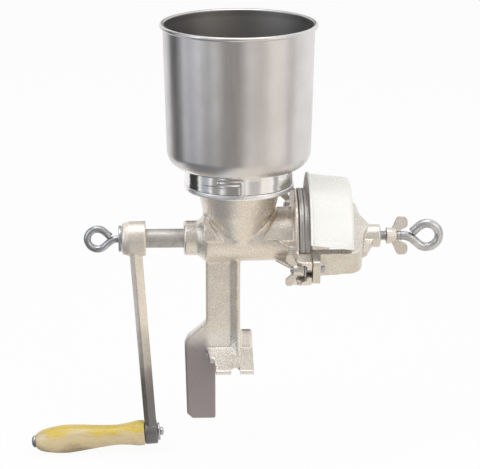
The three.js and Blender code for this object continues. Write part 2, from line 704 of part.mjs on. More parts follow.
function millBody() {
  const lug = tilted(forkLug());
  const wing = footWing();
  const frontWing = wing.clone().scale(1, -1, 1);
  const casting = join(
    barrelOutside(), funnelSkin(0, 0, NECK_FLANGE_Z), chute(), leftShoulder(), neck(),
    lug, opposite(lug), legWeb(), legFlange(), wing, frontWing,
  );
  const slot = tilted(burrLug(FIXED_LUG_R, flangeRight - LUG_H - PLAY, flangeRight + OVERLAP, PLAY));
  return cut(casting, bodyHollow(), footNotch(), slot, opposite(slot));
}

// ---------------------------------------------------------------- feed screw

/** Left-handed flight wound on the core from one X to another. */
function flight(from, to) {
  const stepsPerTurn = 10;
  const steps = Math.round(((to - from) / SCREW_PITCH) * stepsPerTurn);
  const [root, tip] = [R(SHAFT_D) - OVERLAP, R(SCREW_D)];
  const rings = [];
  for (let i = 0; i <= steps; i += 1) {
    const x = from + ((to - from) * i) / steps;
    const turn = (-2 * Math.PI * (x - from)) / SCREW_PITCH;
    const at = (offset, radius) =>
      new THREE.Vector3(x + offset, radius * Math.cos(turn), radius * Math.sin(turn));
    rings.push([
      at(-FLIGHT_ROOT_T / 2, root), at(-FLIGHT_TIP_T / 2, tip),
      at(FLIGHT_TIP_T / 2, tip), at(FLIGHT_ROOT_T / 2, root),
    ]);
  }
  return loft(rings);
}

function feedScrew() {
  const core = turnedX([
    [shaftLeft, 0], [shaftLeft, R(SHAFT_D) - 1], [shaftLeft + 1, R(SHAFT_D)], [carrierX, R(SHAFT_D)],
    [carrierX, R(TAIL_D)], [shaftRight, R(TAIL_D)], [shaftRight, 0],
  ]);
  const margin = FLIGHT_ROOT_T / 2 + 1;
  const screw = join(core, flight(BARREL_LEFT + margin, fixedFaceX - margin));
  const flatEnd = crankX + HUB_RIGHT - 1;
  const flat = R(SHAFT_FLAT_D);
  const flatCut = block(shaftLeft - OVERLAP, flatEnd, -SHAFT_D, SHAFT_D, flat, SHAFT_D);
  const tapped = rodX(CLAMP_SCREW_D + 2 * PLAY, shaftLeft - OVERLAP, shaftLeft + CLAMP_SCREW_GRIP + 1, 16);
  const seat = rodX(BALL_D + 2 * PLAY, ballX - R(BALL_D) - GAP, shaftRight + OVERLAP, 16);
  const pinHole = rodZ(DRIVE_PIN_D + 2 * PLAY, -SHAFT_D, SHAFT_D, 16).translate(pinX, 0, 0);
  return cut(screw, flatCut, opposite(flatCut), tapped, seat, pinHole);
}

// ---------------------------------------------------------------- burrs and carrier

/** Grinding face on a disc's +X side at x = 0: sectors of parallel ridges inside a flat land. */
function ridges(boreD) {
  const [foot, tip, root] = [TOOTH_W / 2, TOOTH_TIP_W / 2, -OVERLAP];
  const section = polygon([[-foot, root], [foot, root], [tip, TOOTH_H], [-tip, TOOTH_H]]);
  const list = [];
  const rimR = R(BURR_D) - LAND_W / 2;
  for (let sector = 0; sector < BURR_SECTORS; sector += 1) {
    for (let k = 0; k < RIDGES_PER_SECTOR; k += 1) {
      const side = k * (TOOTH_W + TOOTH_GAP);
      const innerR = R(boreD) + 2 + TOOTH_STEP * k;
      const outerR = Math.sqrt(rimR * rimR - side * side);
      const ridge = new THREE.ExtrudeGeometry(section, { depth: outerR - innerR, bevelEnabled: false });
      ridge.applyMatrix4(axes(Z_AXIS, X_AXIS, Y_AXIS)).translate(0, innerR, side);
      list.push(ridge.rotateX((2 * Math.PI * sector) / BURR_SECTORS));
    }
  }
  return [...list, ringX(BURR_D, BURR_D - 2 * LAND_W, root, TOOTH_H)];
}

/** Driving lug on the back of a burr, on the +Y side, or its pocket with some margin. */
function burrLug(radius, from, to, margin = 0) {
  const half = R(LUG_SIZE) + margin;
  return block(from, to, radius - half, radius + half, -half, half);
}

function fixedBurr() {
  const disc = ringX(BURR_D, FIXED_BURR_BORE, fixedBurrX, fixedFaceX);
  const teeth = ridges(FIXED_BURR_BORE).map((ridge) => ridge.translate(fixedFaceX, 0, 0));
  const lug = tilted(burrLug(FIXED_LUG_R, flangeRight - LUG_H, fixedBurrX + OVERLAP));
  return join(disc, ...teeth, lug, opposite(lug));
}

function movingBurr() {
  const disc = ringX(BURR_D, MOVING_BURR_BORE, movingFaceX, movingBackX);
  const teeth = ridges(MOVING_BURR_BORE).map((ridge) => ridge.rotateZ(Math.PI).translate(movingFaceX, 0, 0));
  const lug = burrLug(CARRIER_LUG_R, movingBackX - OVERLAP, carrierX + LUG_H);
  return join(disc, ...teeth, lug, opposite(lug));
}

/** Disc and hub that carry the moving burr on the end of the shaft. */
function burrCarrier() {
  const plate = turnedX([
    [carrierX, 0], [carrierX, R(CARRIER_D)], [carrierX + CARRIER_T * 0.6, R(CARRIER_D)],
    [carrierRight, R(CARRIER_D) - 3], [carrierRight, R(CARRIER_HUB_D) + 3],
    [carrierRight + 3, R(CARRIER_HUB_D)], [hubRight - 1, R(CARRIER_HUB_D)],
    [hubRight, R(CARRIER_HUB_D) - 1], [hubRight, 0],
  ], 24);
  const pocket = burrLug(CARRIER_LUG_R, carrierX - OVERLAP, carrierX + LUG_H + PLAY, PLAY);
  const bore = rodX(TAIL_D + 2 * PLAY, carrierX - OVERLAP, hubRight + OVERLAP);
  const pinHole = rodZ(DRIVE_PIN_D + 2 * PLAY, -CARRIER_HUB_D, CARRIER_HUB_D, 16).translate(pinX, 0, 0);
  return cut(plate, bore, pinHole, pocket, opposite(pocket));
}

function drivePin() {
  const half = R(CARRIER_HUB_D) - 0.6;
  return rodZ(DRIVE_PIN_D, -half, half, 16).translate(pinX, 0, 0);
}

// ---------------------------------------------------------------- bridge

/** Cast yoke that spans the burrs and carries the adjusting screw. */
function bridge() {
  const [innerR, half] = [armOuterR - ARM_T, R(ARM_HEIGHT)];
  const side = outline([
    [earX, innerR], [earX, earOuterR], [earRight, earOuterR, 2], [earRight, armOuterR + 1, 3],
    [BRIDGE_REACH, armOuterR - 1, 13], [BRIDGE_REACH + WEB_CONE, R(HUB_D) + 2, 3],
    [BRIDGE_REACH + WEB_CONE + 5, 0], [webLeft, 0], [webLeft, innerR, 5],
  ]);
  const face = outline([
    [-1, -half + 0.5], [20, -half + 1.5], [armOuterR, -half + 0.8], [armOuterR, -half],
    [earOuterR, -half, 4], [earOuterR, half, 4],
    [armOuterR, half], [armOuterR, half - 0.8], [20, half - 1.5], [-1, half - 0.5],
  ]);
  const span = earOuterR + OVERLAP;
  const arm = common(plateXY(side, -half - OVERLAP, half + OVERLAP), plateYZ(face, earX, earX + span));
  const ribSide = outline([
    [BRIDGE_REACH + WEB_CONE - 1, 0], [BRIDGE_REACH - 1, armOuterR - 12],
    [BRIDGE_REACH + WEB_CONE + 2, armOuterR - 17, 4], [hubEnd - 7, R(HUB_D) - 0.5], [hubEnd - 7, 0],
  ]);
  const rib = plateXY(ribSide, -R(RIB_T), R(RIB_T));
  const hub = chamferedRodX(HUB_D, webLeft, hubEnd, 1, 28);
  const boss = chamferedRodX(INNER_BOSS_D, webLeft - INNER_BOSS_L, webLeft + OVERLAP, 0.8, 28);
  const screwHole = rodX(ADJUSTER_D + 2 * PLAY, webLeft - INNER_BOSS_L - OVERLAP, hubEnd + OVERLAP, 20);
  const boltHole = rodX(BOLT_D + 2 * PLAY, earX - OVERLAP, earRight + OVERLAP, 20).translate(0, boltR, 0);
  const armAndRib = join(arm, rib);
  const yoke = join(armAndRib, opposite(armAndRib), hub, boss);
  return tilted(cut(yoke, screwHole, boltHole, opposite(boltHole)));
}

/** Stud that ties one bridge ear to its fork, on the +Y side of the bridge's own frame. */
function bridgeBolt() {
  const left = nutX - BOLT_NOSE;
  return chamferedRodX(BOLT_D, left, earRight + BOLT_TAIL, 0.8, 20).translate(0, boltR, 0);
}

function bridgeWasher() {
  return ringX(WASHER_D, BOLT_D + 2 * PLAY, washerX, washerX + WASHER_T, 24).translate(0, boltR, 0);
}

/** Wing nut on the X axis: the hub bears at x = 0, the wings lean towards -X. */
function wingNut({ boreD, hubD, length, span, flare, lobe }) {
  const hub = turnedX([
    [-length, 0], [-length, R(hubD) - 1.6], [-length * 0.55, R(hubD) - 0.8], [0, R(hubD)], [0, 0],
  ], 20);
  const [tip, end] = [-length - flare, R(span)];
  const wing = outline([
    [-length * 0.5, 0], [-length * 0.5, R(hubD) * 0.7], [tip + lobe, end, lobe * 0.42],
    [tip, end, lobe * 0.46], [tip, end - lobe, lobe * 0.4], [-length + 0.5, R(hubD) * 0.45],
    [-length + 0.5, 0],
  ], 4);
  const blade = plateXY(wing, -WING_T / 2, WING_T / 2);
  const bore = rodX(boreD + 2 * PLAY, -length - flare - OVERLAP, OVERLAP, 20);
  return cut(join(hub, blade, opposite(blade)), bore);
}

function bridgeNut(turn) {
  const nut = wingNut({
    boreD: BOLT_D, hubD: NUT_HUB_D, length: NUT_L, span: WING_SPAN, flare: WING_FLARE, lobe: WING_LOBE,
  });
  return nut.rotateX(rad(turn)).translate(nutX + NUT_L, boltR, 0);
}

function lockNut() {
  const nut = wingNut({
    boreD: ADJUSTER_D, hubD: LOCK_NUT_HUB_D, length: LOCK_NUT_L,
    span: LOCK_WING_SPAN, flare: LOCK_WING_FLARE, lobe: LOCK_WING_LOBE,
  });
  return nut.rotateY(Math.PI).rotateX(rad(LOCK_NUT_TURN)).translate(lockNutX, 0, 0);
}

// ---------------------------------------------------------------- screws with a bent eye

/**
 * Screw along +X whose rod is bent into a pear-shaped eye in the XZ plane.
 * The neck of the eye lies at x = 0, and the loop closes on the rod that it grew from.
 */
function eyeScrew({ shankD, shankL, eyeD, loopR }) {
  const reach = loopR * EYE_PEAR;
  const spread = Math.asin(loopR / reach);
  const strand = Math.sqrt(reach * reach - loopR * loopR);
  const lower = new THREE.Vector3(Math.cos(spread), 0, -Math.sin(spread));
  const upper = new THREE.Vector3(Math.cos(spread), 0, Math.sin(spread));
  const neck = new THREE.Vector3();
  const bend = eyeD * EYE_BEND;
  const path = new THREE.CurvePath();
  const bendStart = new THREE.Vector3(-bend, 0, 0);
  const bendEnd = lower.clone().multiplyScalar(bend);
  path.add(new THREE.LineCurve3(new THREE.Vector3(-bend - 1.5, 0, 0), bendStart));
  path.add(new THREE.QuadraticBezierCurve3(bendStart, neck, bendEnd));
  path.add(new THREE.LineCurve3(bendEnd, lower.clone().multiplyScalar(strand)));
  path.add(new LoopArc(reach, loopR, -Math.PI / 2 - spread, Math.PI / 2 + spread));
  const free = (eyeD * EYE_CLOSE) / Math.sin(2 * spread);
  path.add(new THREE.LineCurve3(upper.clone().multiplyScalar(strand), upper.clone().multiplyScalar(free)));
  const eye = rodAlong(path, eyeD, 24, 8);
  const shank = chamferedRodX(shankD, -shankL, -bend - 0.5, 0.8, 20);
  return join(shank, eye);
}

/** Circular arc in the XZ plane around (centreX, 0). */
class LoopArc extends THREE.Curve {
  constructor(centreX, radius, from, to) {
    super();
    Object.assign(this, { centreX, radius, from, to });
  }

  getPoint(t, target = new THREE.Vector3()) {
    const turn = THREE.MathUtils.lerp(this.from, this.to, t);
    return target.set(this.centreX + this.radius * Math.cos(turn), 0, this.radius * Math.sin(turn));
  }
}

function adjustingScrew() {
  const screw = eyeScrew({
    shankD: ADJUSTER_D, shankL: adjusterEyeX - adjusterTipX, eyeD: ADJUSTER_EYE_D, loopR: ADJUSTER_LOOP_R,
  });
  return screw.translate(adjusterEyeX, 0, 0);
}

function clampScrew() {
  const tip = shaftLeft + CLAMP_SCREW_GRIP;
  const screw = eyeScrew({
    shankD: CLAMP_SCREW_D, shankL: tip - clampNeckX, eyeD: CLAMP_EYE_D, loopR: CLAMP_LOOP_R,
  });
  return screw.rotateZ(Math.PI).translate(clampNeckX, 0, 0);
}

// ---------------------------------------------------------------- burr guard

/** Moulded hood that snaps over the bridge and turns the meal downwards. */
function burrGuard() {
  const right = webLeft - GAP;
  const [openR, closedR] = [R(GUARD_OPEN_D), R(GUARD_CLOSED_D)];
  const outerCorner = [];
  const innerCorner = [];
  for (let k = 0; k <= 4; k += 1) {
    const turn = rad(90 - (90 * k) / 4);
    const inner = GUARD_FILLET - GUARD_WALL;
    outerCorner.push([right - GUARD_FILLET + GUARD_FILLET * Math.cos(turn),
      closedR - GUARD_FILLET + GUARD_FILLET * Math.sin(turn)]);
    innerCorner.unshift([right - GUARD_FILLET + inner * Math.cos(turn),
      closedR - GUARD_FILLET + inner * Math.sin(turn)]);
  }
  const hood = turnedX([
    [right - GUARD_WALL, 0], ...innerCorner, [GUARD_LEFT, openR - GUARD_WALL],
    [GUARD_LEFT, openR + GUARD_LIP], [GUARD_LEFT + 2, openR + GUARD_LIP],
    [GUARD_LEFT + 2.6, openR], ...outerCorner, [right, 0],
  ], 44);
  const beyond = openR + 4;
  const below = polygon([
    [GUARD_LEFT - 4, GUARD_EDGE_LEFT], [right + 4, GUARD_EDGE_RIGHT],
    [right + 4, -beyond], [GUARD_LEFT - 4, -beyond],
  ]);
  const frontCut = plateXZ(below, -beyond, 0);
  const seat = R(ARM_HEIGHT) + GAP;
  const backCut = tilted(block(GUARD_LEFT - 4, right + 4, 0, beyond, -beyond, seat));
  const lowCut = block(GUARD_LEFT - 4, right + 4, -OVERLAP, beyond, -beyond, 0);
  const bossCut = rodX(INNER_BOSS_D + 2 * GAP, GUARD_LEFT - 4, right + 4, 28);
  return cut(hood, frontCut, backCut, lowCut, bossCut);
}

// ---------------------------------------------------------------- crank

/** Moves a body from the eye's own frame, with +X towards the body of the mill, to the crank's eye. */
function atCrankEye(geometry) {
  return geometry.rotateY(-rad(CRANK_LEAN)).translate(crankEyeX, 0, -CRANK_RADIUS);
}

/** Six-sided section of the arm, with a ridge down its front and back. */
function armRing(centre, thickness, width) {
  const [t, w] = [thickness / 2, width / 2];
  return [[-t, -w * 0.45], [-t * 0.25, -w], [t, -w * 0.6], [t, w * 0.6], [-t * 0.25, w], [-t, w * 0.45]]
    .map(([x, y]) => new THREE.Vector3(centre.x + x, y, centre.z));
}

function crankArm() {
  const hubBody = turnedX([
    [hubFaceX, 0], [hubFaceX, R(CRANK_HUB_D) - 3.4], [hubFaceX + 1.5, R(CRANK_HUB_D) - 1.6],
    [hubFaceX + 7, R(CRANK_HUB_D) - 0.2], [crankX + HUB_RIGHT - 1.2, R(CRANK_HUB_D)],
    [crankX + HUB_RIGHT, R(CRANK_HUB_D) - 1.2], [crankX + HUB_RIGHT, 0],
  ], 28);
  const along = (share) => new THREE.Vector3(
    THREE.MathUtils.lerp(crankX, crankEyeX, share), 0, -CRANK_RADIUS * share,
  );
  const arm = loft([0, 0.5, 1].map((share) => armRing(
    along(share),
    THREE.MathUtils.lerp(ARM_TOP_T, ARM_LOW_T, share),
    THREE.MathUtils.lerp(ARM_TOP_W, ARM_LOW_W, share),
  )));
  const eye = atCrankEye(chamferedRodX(EYE_D, -EYE_T / 2, EYE_T / 2, 1, 24));
  const shaftHole = rodX(SHAFT_D + 2 * PLAY, hubFaceX - OVERLAP, crankX + HUB_RIGHT + OVERLAP);
  const flat = R(SHAFT_FLAT_D) + PLAY;
  const [landLeft, landRight] = [hubFaceX + 0.01, crankX + HUB_RIGHT - 1.6];
  const land = block(landLeft, landRight, -SHAFT_D, SHAFT_D, flat, R(SHAFT_D) + OVERLAP);
  const lands = cut(shaftHole, land, opposite(land));
  const boltHole = atCrankEye(rodX(HANDLE_BOLT_D + 2 * PLAY, -EYE_T, EYE_T, 16));
  return cut(join(hubBody, arm, eye), lands, boltHole);
}

function crankWasher() {
  return ringX(CRANK_WASHER_D, CLAMP_SCREW_D + 2 * PLAY, crankWasherX, crankWasherX + CRANK_WASHER_T, 28);
}

/** Turned grip that spins on its bolt; its root lies next to the crank's eye. */
function handleGrip() {
  const root = -EYE_T / 2 - GAP;
  const end = root - GRIP_LENGTH;
  const shape = new THREE.SplineCurve([
    [end, R(GRIP_END_D) - 1], [end + 5, R(GRIP_END_D) + 2.4], [end + 14, R(GRIP_BELLY_D) - 1.6],
    [end + 28, R(GRIP_BELLY_D)], [end + 42, R(GRIP_BELLY_D) - 0.8], [end + 62, R(GRIP_WAIST_D) + 1],
    [end + 78, R(GRIP_WAIST_D)], [end + 90, R(GRIP_WAIST_D) + 0.9], [root - 6, R(GRIP_ROOT_D)],
    [root, R(GRIP_ROOT_D) - 0.3],
  ].map(([x, radius]) => new THREE.Vector2(x, radius)));
  const outside = shape.getPoints(14).map(({ x, y }) => [x, y]);
  const boreR = R(HANDLE_BOLT_D) + PLAY;
  const grip = turnedX([[end, boreR], ...outside, [root, boreR], [end, boreR]], 20);
  return atCrankEye(grip);
}

/** Rod through the grip and the crank's eye, with a domed head and a peened tail. */
function handleBolt() {
  const head = -EYE_T / 2 - 2 * GAP - GRIP_LENGTH;
  const tail = EYE_T / 2 + GAP + HANDLE_WASHER_T;
  return atCrankEye(turnedX([
    [head - HANDLE_CAP_T, 0], [head - HANDLE_CAP_T, R(HANDLE_CAP_D) - 2.6],
    [head - 2.4, R(HANDLE_CAP_D) - 0.8], [head - 1, R(HANDLE_CAP_D)],
    [head, R(HANDLE_CAP_D)], [head, R(HANDLE_BOLT_D)],
    [tail + GAP, R(HANDLE_BOLT_D)], [tail + GAP, R(HANDLE_BOLT_D) + 0.9],
    [tail + HANDLE_TAIL - 1, R(HANDLE_BOLT_D) + 0.7], [tail + HANDLE_TAIL, R(HANDLE_BOLT_D) - 0.6],
    [tail + HANDLE_TAIL, 0],
  ], 20));
}

function handleWasher() {
  const left = EYE_T / 2 + GAP;
  return atCrankEye(ringX(HANDLE_WASHER_D, HANDLE_BOLT_D + 2 * PLAY, left, left + HANDLE_WASHER_T, 24));
}

// ---------------------------------------------------------------- the assembled mill
piece('hopper', hopper(), BRIGHT_SHEET);
piece('mill_body', millBody(), TINNED_IRON);
piece('feed_screw', feedScrew(), PLATED_STEEL);
piece('fixed_burr', fixedBurr(), DARK_IRON);
piece('moving_burr', movingBurr(), DARK_IRON);
piece('burr_carrier', burrCarrier(), TINNED_IRON);
piece('drive_pin', drivePin(), PLATED_STEEL);
piece('thrust_ball', new THREE.SphereGeometry(R(BALL_D), 14, 8).translate(ballX, 0, 0), PLATED_STEEL);
piece('bridge', bridge(), TINNED_IRON);
piece('bridge_bolt_back', tilted(bridgeBolt()), PLATED_STEEL);
piece('bridge_bolt_front', tilted(opposite(bridgeBolt())), PLATED_STEEL);
piece('washer_back', tilted(bridgeWasher()), PLATED_STEEL);
piece('washer_front', tilted(opposite(bridgeWasher())), PLATED_STEEL);
piece('wing_nut_back', tilted(bridgeNut(60)), TINNED_IRON);
piece('wing_nut_front', tilted(opposite(bridgeNut(80))), TINNED_IRON);
piece('adjusting_screw', adjustingScrew(), PLATED_STEEL);
piece('lock_wing_nut', lockNut(), TINNED_IRON);
piece('burr_guard', burrGuard(), CREAM_PLASTIC);
piece('crank_arm', crankArm(), DARK_IRON);
piece('crank_washer', crankWasher(), PLATED_STEEL);
piece('crank_eye_screw', clampScrew(), PLATED_STEEL);
piece('handle_grip', handleGrip(), VARNISHED_WOOD);
piece('handle_bolt', handleBolt(), PLATED_STEEL);
piece('handle_washer', handleWasher(), PLATED_STEEL);

export default mill;
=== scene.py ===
"""Hand-cranked grain mill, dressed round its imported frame.

The mill stands with its hopper's axis along Z and its crankshaft along X. Every piece is
modelled in millimetres about the crossing of those two axes, and is then scaled to metres
and lifted to the height of the shaft.
"""

from __future__ import annotations

import json
import logging
import math
from collections.abc import Callable, Iterator, Sequence
from contextlib import contextmanager
from dataclasses import dataclass
from enum import Enum
from itertools import pairwise
from typing import TypeAlias

import bmesh
import bpy
from mathutils import Matrix, Vector

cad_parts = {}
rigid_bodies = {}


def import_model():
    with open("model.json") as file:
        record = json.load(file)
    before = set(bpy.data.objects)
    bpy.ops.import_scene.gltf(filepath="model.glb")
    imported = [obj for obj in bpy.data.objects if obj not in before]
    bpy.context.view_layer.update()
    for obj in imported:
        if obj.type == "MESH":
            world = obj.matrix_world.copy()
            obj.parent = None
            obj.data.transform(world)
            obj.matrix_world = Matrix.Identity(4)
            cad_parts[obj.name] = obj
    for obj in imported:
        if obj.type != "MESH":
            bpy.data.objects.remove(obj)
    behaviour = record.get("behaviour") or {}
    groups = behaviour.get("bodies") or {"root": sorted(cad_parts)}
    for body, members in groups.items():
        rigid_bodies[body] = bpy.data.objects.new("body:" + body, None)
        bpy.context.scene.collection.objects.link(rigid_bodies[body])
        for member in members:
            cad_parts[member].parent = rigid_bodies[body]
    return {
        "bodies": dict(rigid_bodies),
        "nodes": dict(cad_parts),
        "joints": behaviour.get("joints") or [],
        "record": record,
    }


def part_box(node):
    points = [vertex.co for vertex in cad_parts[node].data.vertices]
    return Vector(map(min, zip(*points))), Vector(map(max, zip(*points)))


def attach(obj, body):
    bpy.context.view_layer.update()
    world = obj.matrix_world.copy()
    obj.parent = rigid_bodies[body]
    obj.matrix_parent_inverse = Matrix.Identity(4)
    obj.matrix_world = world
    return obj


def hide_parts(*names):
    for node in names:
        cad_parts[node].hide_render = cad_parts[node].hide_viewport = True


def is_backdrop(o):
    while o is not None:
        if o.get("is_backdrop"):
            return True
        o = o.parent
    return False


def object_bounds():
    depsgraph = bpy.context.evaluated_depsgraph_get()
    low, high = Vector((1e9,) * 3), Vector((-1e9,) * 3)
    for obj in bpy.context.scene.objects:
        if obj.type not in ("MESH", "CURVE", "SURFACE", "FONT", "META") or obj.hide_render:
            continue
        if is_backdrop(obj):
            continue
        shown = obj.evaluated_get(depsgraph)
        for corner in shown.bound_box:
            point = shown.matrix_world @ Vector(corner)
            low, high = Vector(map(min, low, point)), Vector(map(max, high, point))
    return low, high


LOG = logging.getLogger("grain_mill")
MM = 0.001
WELD = 1e-4
# Sizes that several pieces share: millimetres, and degrees for the tilt.
BURR_LUG_L = 2.3
BRIDGE_TILT = 18.0
COLLAR_H = 15.8
PIN_D = 5.0

Piece: TypeAlias = bpy.types.Object
Socket: TypeAlias = bpy.types.NodeSocket
Level: TypeAlias = tuple[float, ...]
Colour: TypeAlias = tuple[float, float, float]


class Axis(Enum):
    """Axis that a turned piece is drawn about."""

    X = "x"
    Z = "z"


class Slot(Enum):
    """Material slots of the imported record."""

    SHEET = "bright_sheet"
    TINNED = "tinned_iron"
    DARK = "dark_iron"
    PLATED = "plated_steel"
    PLASTIC = "cream_plastic"
    WOOD = "varnished_wood"


# ---- the modeller's bench


def activate(*pieces: Piece) -> None:
    """Selects these pieces alone, and makes the first one active.

    Args:
        pieces: What to select, the active one first.
    """
    bpy.ops.object.select_all(action="DESELECT")
    for piece in pieces:
        piece.select_set(True)
    bpy.context.view_layer.objects.active = pieces[0]


def added(add: Callable[..., object], **settings: object) -> Piece:
    """New primitive, light or camera, with everything else deselected first.

    Args:
        add: Blender's operator that adds it.
        settings: The operator's own settings by name.

    Returns:
        The new object.
    """
    bpy.ops.object.select_all(action="DESELECT")
    add(**settings)
    return bpy.context.object


@contextmanager
def editing(piece: Piece) -> Iterator[None]:
    """Edit mode on one piece, with all of it selected.

    Args:
        piece: The piece to edit.

    Yields:
        Nothing; edit mode ends afterwards.
    """
    activate(piece)
    bpy.ops.object.mode_set(mode="EDIT")
    bpy.ops.mesh.select_all(action="SELECT")
    yield
    bpy.ops.object.mode_set(mode="OBJECT")


def close_shell() -> None:
    """In edit mode: welds doubled corners, fills open ends and turns the faces outwards."""
    bpy.ops.mesh.select_all(action="SELECT")
    bpy.ops.mesh.remove_doubles(threshold=WELD)
    bpy.ops.mesh.fill_holes(sides=0)
    bpy.ops.mesh.normals_make_consistent(inside=False)


def applied(piece: Piece, matrix: Matrix | None = None) -> Piece:
    """Puts a piece in place and applies that place to its mesh.

    Args:
        piece: The piece to place.
        matrix: Where it goes, or None to keep the place that its object has.

    Returns:
        The piece, with its object at the origin.
    """
    if matrix is not None:
        piece.matrix_world = matrix @ piece.matrix_world
    activate(piece)
    bpy.ops.object.transform_apply(location=True, rotation=True, scale=True)
    return piece


def modified(piece: Piece, kind: str, **settings: object) -> Piece:
    """Adds a modifier with these settings and applies it.

    Args:
        piece: The piece to change.
        kind: Blender's name of the kind of modifier.
        settings: The modifier's own settings by name.

    Returns:
        The piece.
    """
    modifier = piece.modifiers.new(kind.title(), kind)
    for key, value in settings.items():
        setattr(modifier, key, value)
    activate(piece)
    bpy.ops.object.modifier_apply(modifier=modifier.name)
    return piece


def softened(corners: Sequence[Level], steps: int = 5) -> list[Level]:
    """Profile through corners (radius, place, fillet), each fillet a true arc.

    Args:
        corners: Corners in order. The third number may be left out for a sharp corner.
        steps: Straight stretches in each fillet.

    Returns:
        The profile's (radius, place) levels.
    """
    levels: list[Level] = []
    for i, (radius, place, *rest) in enumerate(corners):
        fillet = rest[0] if rest else 0.0
        corner = Vector((radius, place))
        if not fillet:
            levels.append((radius, place))
            continue
        back = (Vector(corners[i - 1][:2]) - corner).normalized()
        ahead = (Vector(corners[(i + 1) % len(corners)][:2]) - corner).normalized()
        half = back.angle(ahead) / 2
        centre = corner + (back + ahead).normalized() * (fillet / math.sin(half))
        start = corner + back * (fillet / math.tan(half)) - centre
        sweep = start.angle_signed(corner + ahead * (fillet / math.tan(half)) - centre)
        for k in range(steps + 1):
            turned_by = Matrix.Rotation(-sweep * k / steps, 2)
            levels.append(tuple(centre + turned_by @ start))
    return levels


def turned(levels: Sequence[Level], axis: Axis = Axis.X, sides: int = 72, ring: bool = False) -> Piece:
    """Turned piece: a circle is extruded and resized from one level to the next.

    Args:
        levels: (radius, place along the axis), or (radius, place, radius across) on an oval.
        axis: Axis that the piece is turned about.
        sides: Corners of the circle.
        ring: The last level meets the first, so that the wall closes on itself.

    Returns:
        The closed piece.
    """
    ovals = [(level[0], level[2] if len(level) > 2 else level[0], level[1]) for level in levels]
    piece = added(bpy.ops.mesh.primitive_circle_add, vertices=sides, radius=1)
    with editing(piece):
        across, deep, place = ovals[0]
        bpy.ops.transform.resize(value=(across, deep, 1))
        bpy.ops.transform.translate(value=(0, 0, place))
        for (x0, y0, z0), (x1, y1, z1) in pairwise(ovals):
            bpy.ops.mesh.extrude_region_move(TRANSFORM_OT_translate={"value": (0, 0, z1 - z0)})
            bpy.ops.transform.resize(value=(x1 / x0, y1 / y0, 1), center_override=(0, 0, z1))
        bpy.ops.mesh.select_all(action="SELECT")
        if ring:
            bpy.ops.mesh.remove_doubles(threshold=WELD)
        else:
            bpy.ops.mesh.fill_holes(sides=0)
        bpy.ops.mesh.normals_make_consistent(inside=False)
    if axis is Axis.X:
        applied(piece, about("Y", 90))
    return piece


def rod(diameter: float, start: float, end: float, axis: Axis = Axis.X, chamfer: float = 0.0) -> Piece:
    """Round rod with both ends chamfered.

    Args:
        diameter: Its diameter.
        start: Where it begins along its axis.
        end: Where it ends.
        axis: Its axis.
        chamfer: Width of the chamfers.

    Returns:
        The rod.
    """
    r = diameter / 2
    if not chamfer:
        return turned([(r, start), (r, end)], axis)
    return turned([(r - chamfer, start), (r, start + chamfer), (r, end - chamfer), (r - chamfer, end)], axis)


def washer(outer: float, inner: float, start: float, thickness: float) -> Piece:
    """Flat washer about the X axis, with its edges rounded.

    Args:
        outer: Its diameter.
        inner: Diameter of its hole.
        start: Where it begins along the axis.
        thickness: Its thickness.

    Returns:
        The washer.
    """
    end, edge = start + thickness, thickness * 0.25
    corners = [(inner / 2, start), (outer / 2, start, edge), (outer / 2, end, edge), (inner / 2, end)]
    return turned([*softened(corners, 3), (inner / 2, start)], ring=True)


def block(low: Sequence[float], high: Sequence[float]) -> Piece:
    """Rectangular block between two corners.

    Args:
        low: Its lowest corner.
        high: Its highest corner.

    Returns:
        The block.
    """
    size = [b - a for a, b in zip(low, high)]
    middle = [(a + b) / 2 for a, b in zip(low, high)]
    return applied(added(bpy.ops.mesh.primitive_cube_add, size=1, location=middle, scale=size))


def outlined(corners: Sequence[Level], at: float, plane: str = "xz") -> Piece:
    """Flat face whose outline is drawn corner by corner.

    Args:
        corners: Corners (first coordinate, second coordinate, fillet) in order round the outline.
        at: Where the face lies, across the plane.
        plane: The two coordinates that the corners hold.

    Returns:
        The face, with nothing behind it yet.
    """
    outline = [in_plane(plane, *corner, at) for corner in softened(corners)]
    piece = applied(added(bpy.ops.mesh.primitive_plane_add, size=1, location=outline[0]))
    with editing(piece):
        bpy.ops.mesh.merge(type="CENTER")
        for here, there in pairwise(outline):
            bpy.ops.mesh.extrude_vertices_move(TRANSFORM_OT_translate={"value": there - here})
        bpy.ops.mesh.select_all(action="SELECT")
        bpy.ops.mesh.remove_doubles(threshold=WELD)
        bpy.ops.mesh.edge_face_add()
    return piece


def in_plane(plane: str, first: float, second: float, across: float) -> Vector:
    """Point whose two coordinates in a named plane and whose place across it are given.

    Args:
        plane: Names of the two coordinates.
        first: First coordinate.
        second: Second coordinate.
        across: Place across the plane.

    Returns:
        The point.
    """
    names = plane + next(name for name in "xyz" if name not in plane)
    place = dict(zip(names, (first, second, across)))
    return Vector((place["x"], place["y"], place["z"]))


def plate(corners: Sequence[Level], low: float, high: float, plane: str = "xz") -> Piece:
    """Flat plate between two places across its plane; its outline is given as for outlined.

    Args:
        corners: Corners in order round the outline.
        low: Where it begins across its plane.
        high: Where it ends.
        plane: The two coordinates that the corners hold.

    Returns:
        The plate.
    """
    piece = outlined(corners, low, plane)
    with editing(piece):
        along = in_plane(plane, 0, 0, high - low)
        bpy.ops.mesh.extrude_region_move(TRANSFORM_OT_translate={"value": along})
        bpy.ops.mesh.select_all(action="SELECT")
        bpy.ops.mesh.normals_make_consistent(inside=False)
    return piece


